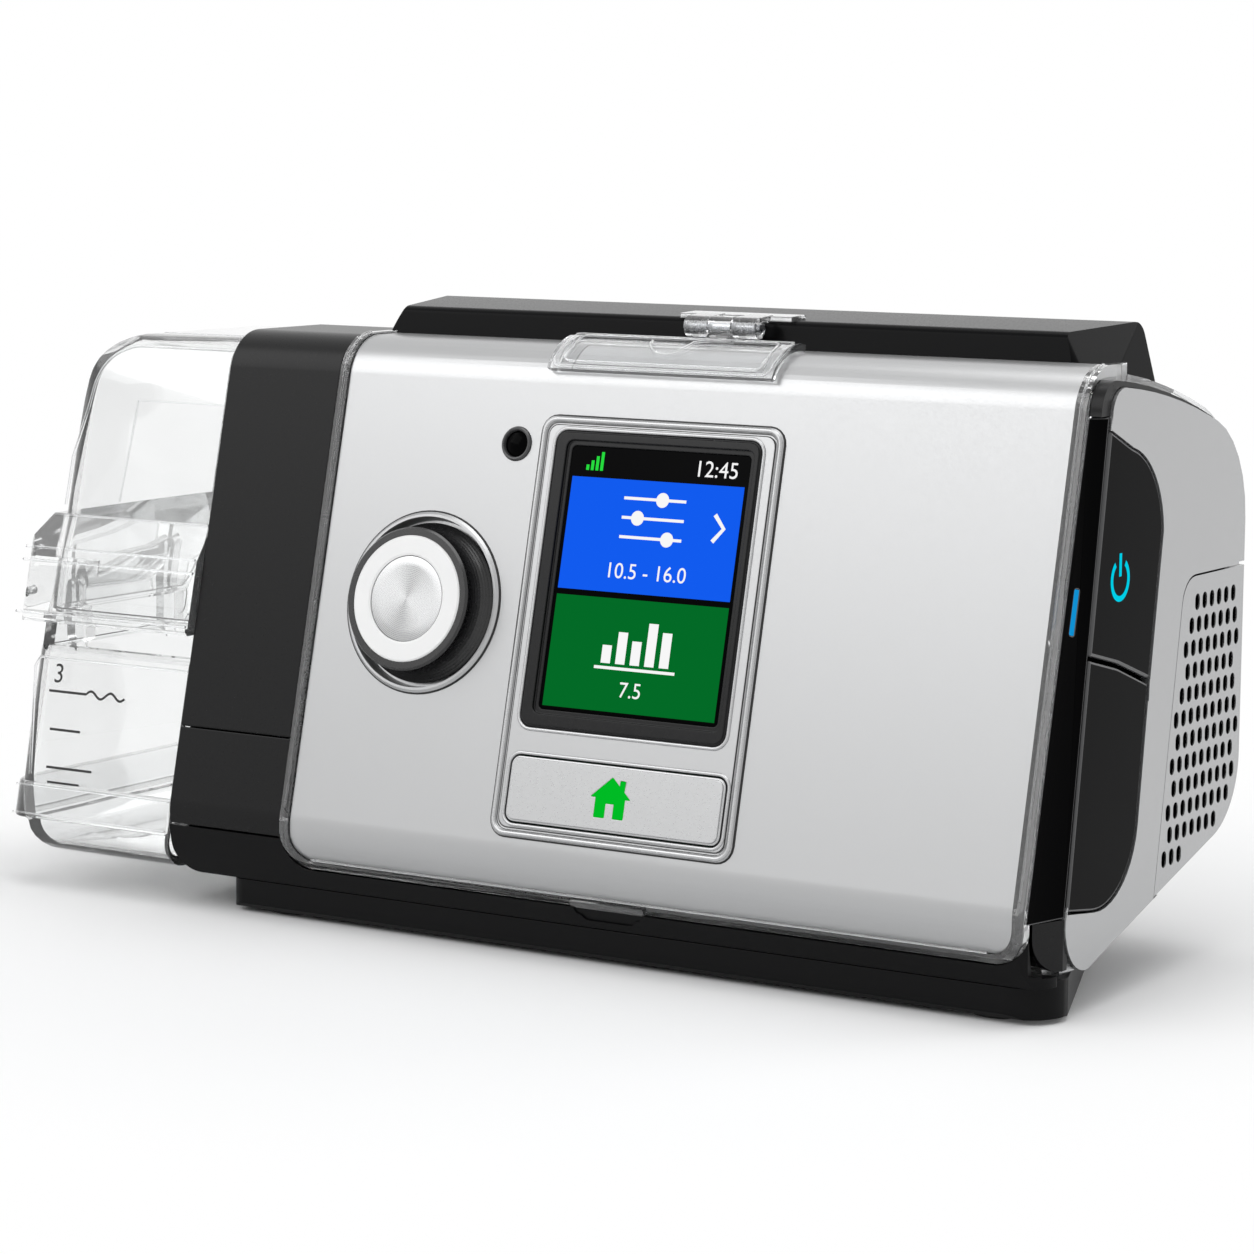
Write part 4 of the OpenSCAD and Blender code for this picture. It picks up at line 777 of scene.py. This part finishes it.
def studio_world():
    world = bpy.data.worlds.new("studio")
    world.use_nodes = True
    nodes, links = world.node_tree.nodes, world.node_tree.links
    nodes.clear()
    mix = nodes.new("ShaderNodeMixShader")
    out = nodes.new("ShaderNodeOutputWorld")
    links.new(rays_that_see_white(nodes, links), mix.inputs["Fac"])
    links.new(background(nodes, (0.98, 0.99, 1.0), AMBIENT), mix.inputs[1])
    links.new(background(nodes, (1, 1, 1), 1.0), mix.inputs[2])
    links.new(mix.outputs["Shader"], out.inputs["Surface"])
    return world


def floor_paper():
    paper = Paint("floor_paper", (0.92, 0.92, 0.92), 0.7)
    distance = paper.nodes.new("ShaderNodeVectorMath")
    distance.operation = "LENGTH"
    paper.links.new(paper.own_place(), distance.inputs[0])
    fade = paper.ramp(distance.outputs["Value"], *FADE, smooth=True)
    seen = paper.nodes.new("ShaderNodeMath")
    seen.operation = "MULTIPLY"
    paper.links.new(fade, seen.inputs[0])
    paper.links.new(rays_that_see_white(paper.nodes, paper.links), seen.inputs[1])
    plain = paper.nodes.new("ShaderNodeEmission")
    plain.inputs["Color"].default_value = (1, 1, 1, 1)
    plain.inputs["Strength"].default_value = 1.0
    mix = paper.nodes.new("ShaderNodeMixShader")
    paper.links.new(seen.outputs["Value"], mix.inputs["Fac"])
    paper.links.new(paper.shader.outputs["BSDF"], mix.inputs[1])
    paper.links.new(plain.outputs["Emission"], mix.inputs[2])
    paper.links.new(mix.outputs["Shader"], paper.nodes["Material Output"].inputs["Surface"])
    return paper.material


# Name, place, target, size and power
area_light("key", (-1.05, -1.30, 1.25), (0, 0, 0.06), (1.8, 1.35), 15)
area_light("top", (0.15, 0.1, 1.4), (0, 0, 0.05), (1.3, 1.0), 9.5)
area_light("rim", (0.95, 1.25, 0.95), (0.08, 0, 0.06), (0.9, 0.5), 4)
bpy.context.scene.world = studio_world()

floor_mesh = bpy.data.meshes.new("floor")
floor_corners = box(-FLOOR_HALF, -FLOOR_HALF, FLOOR_HALF, FLOOR_HALF)
floor_mesh.from_pydata([(x, y, 0) for x, y in floor_corners], [], [(0, 1, 2, 3)])
floor_mesh.materials.append(floor_paper())
floor = add_object("floor", floor_mesh)

bpy.context.scene.view_settings.view_transform = "Standard"
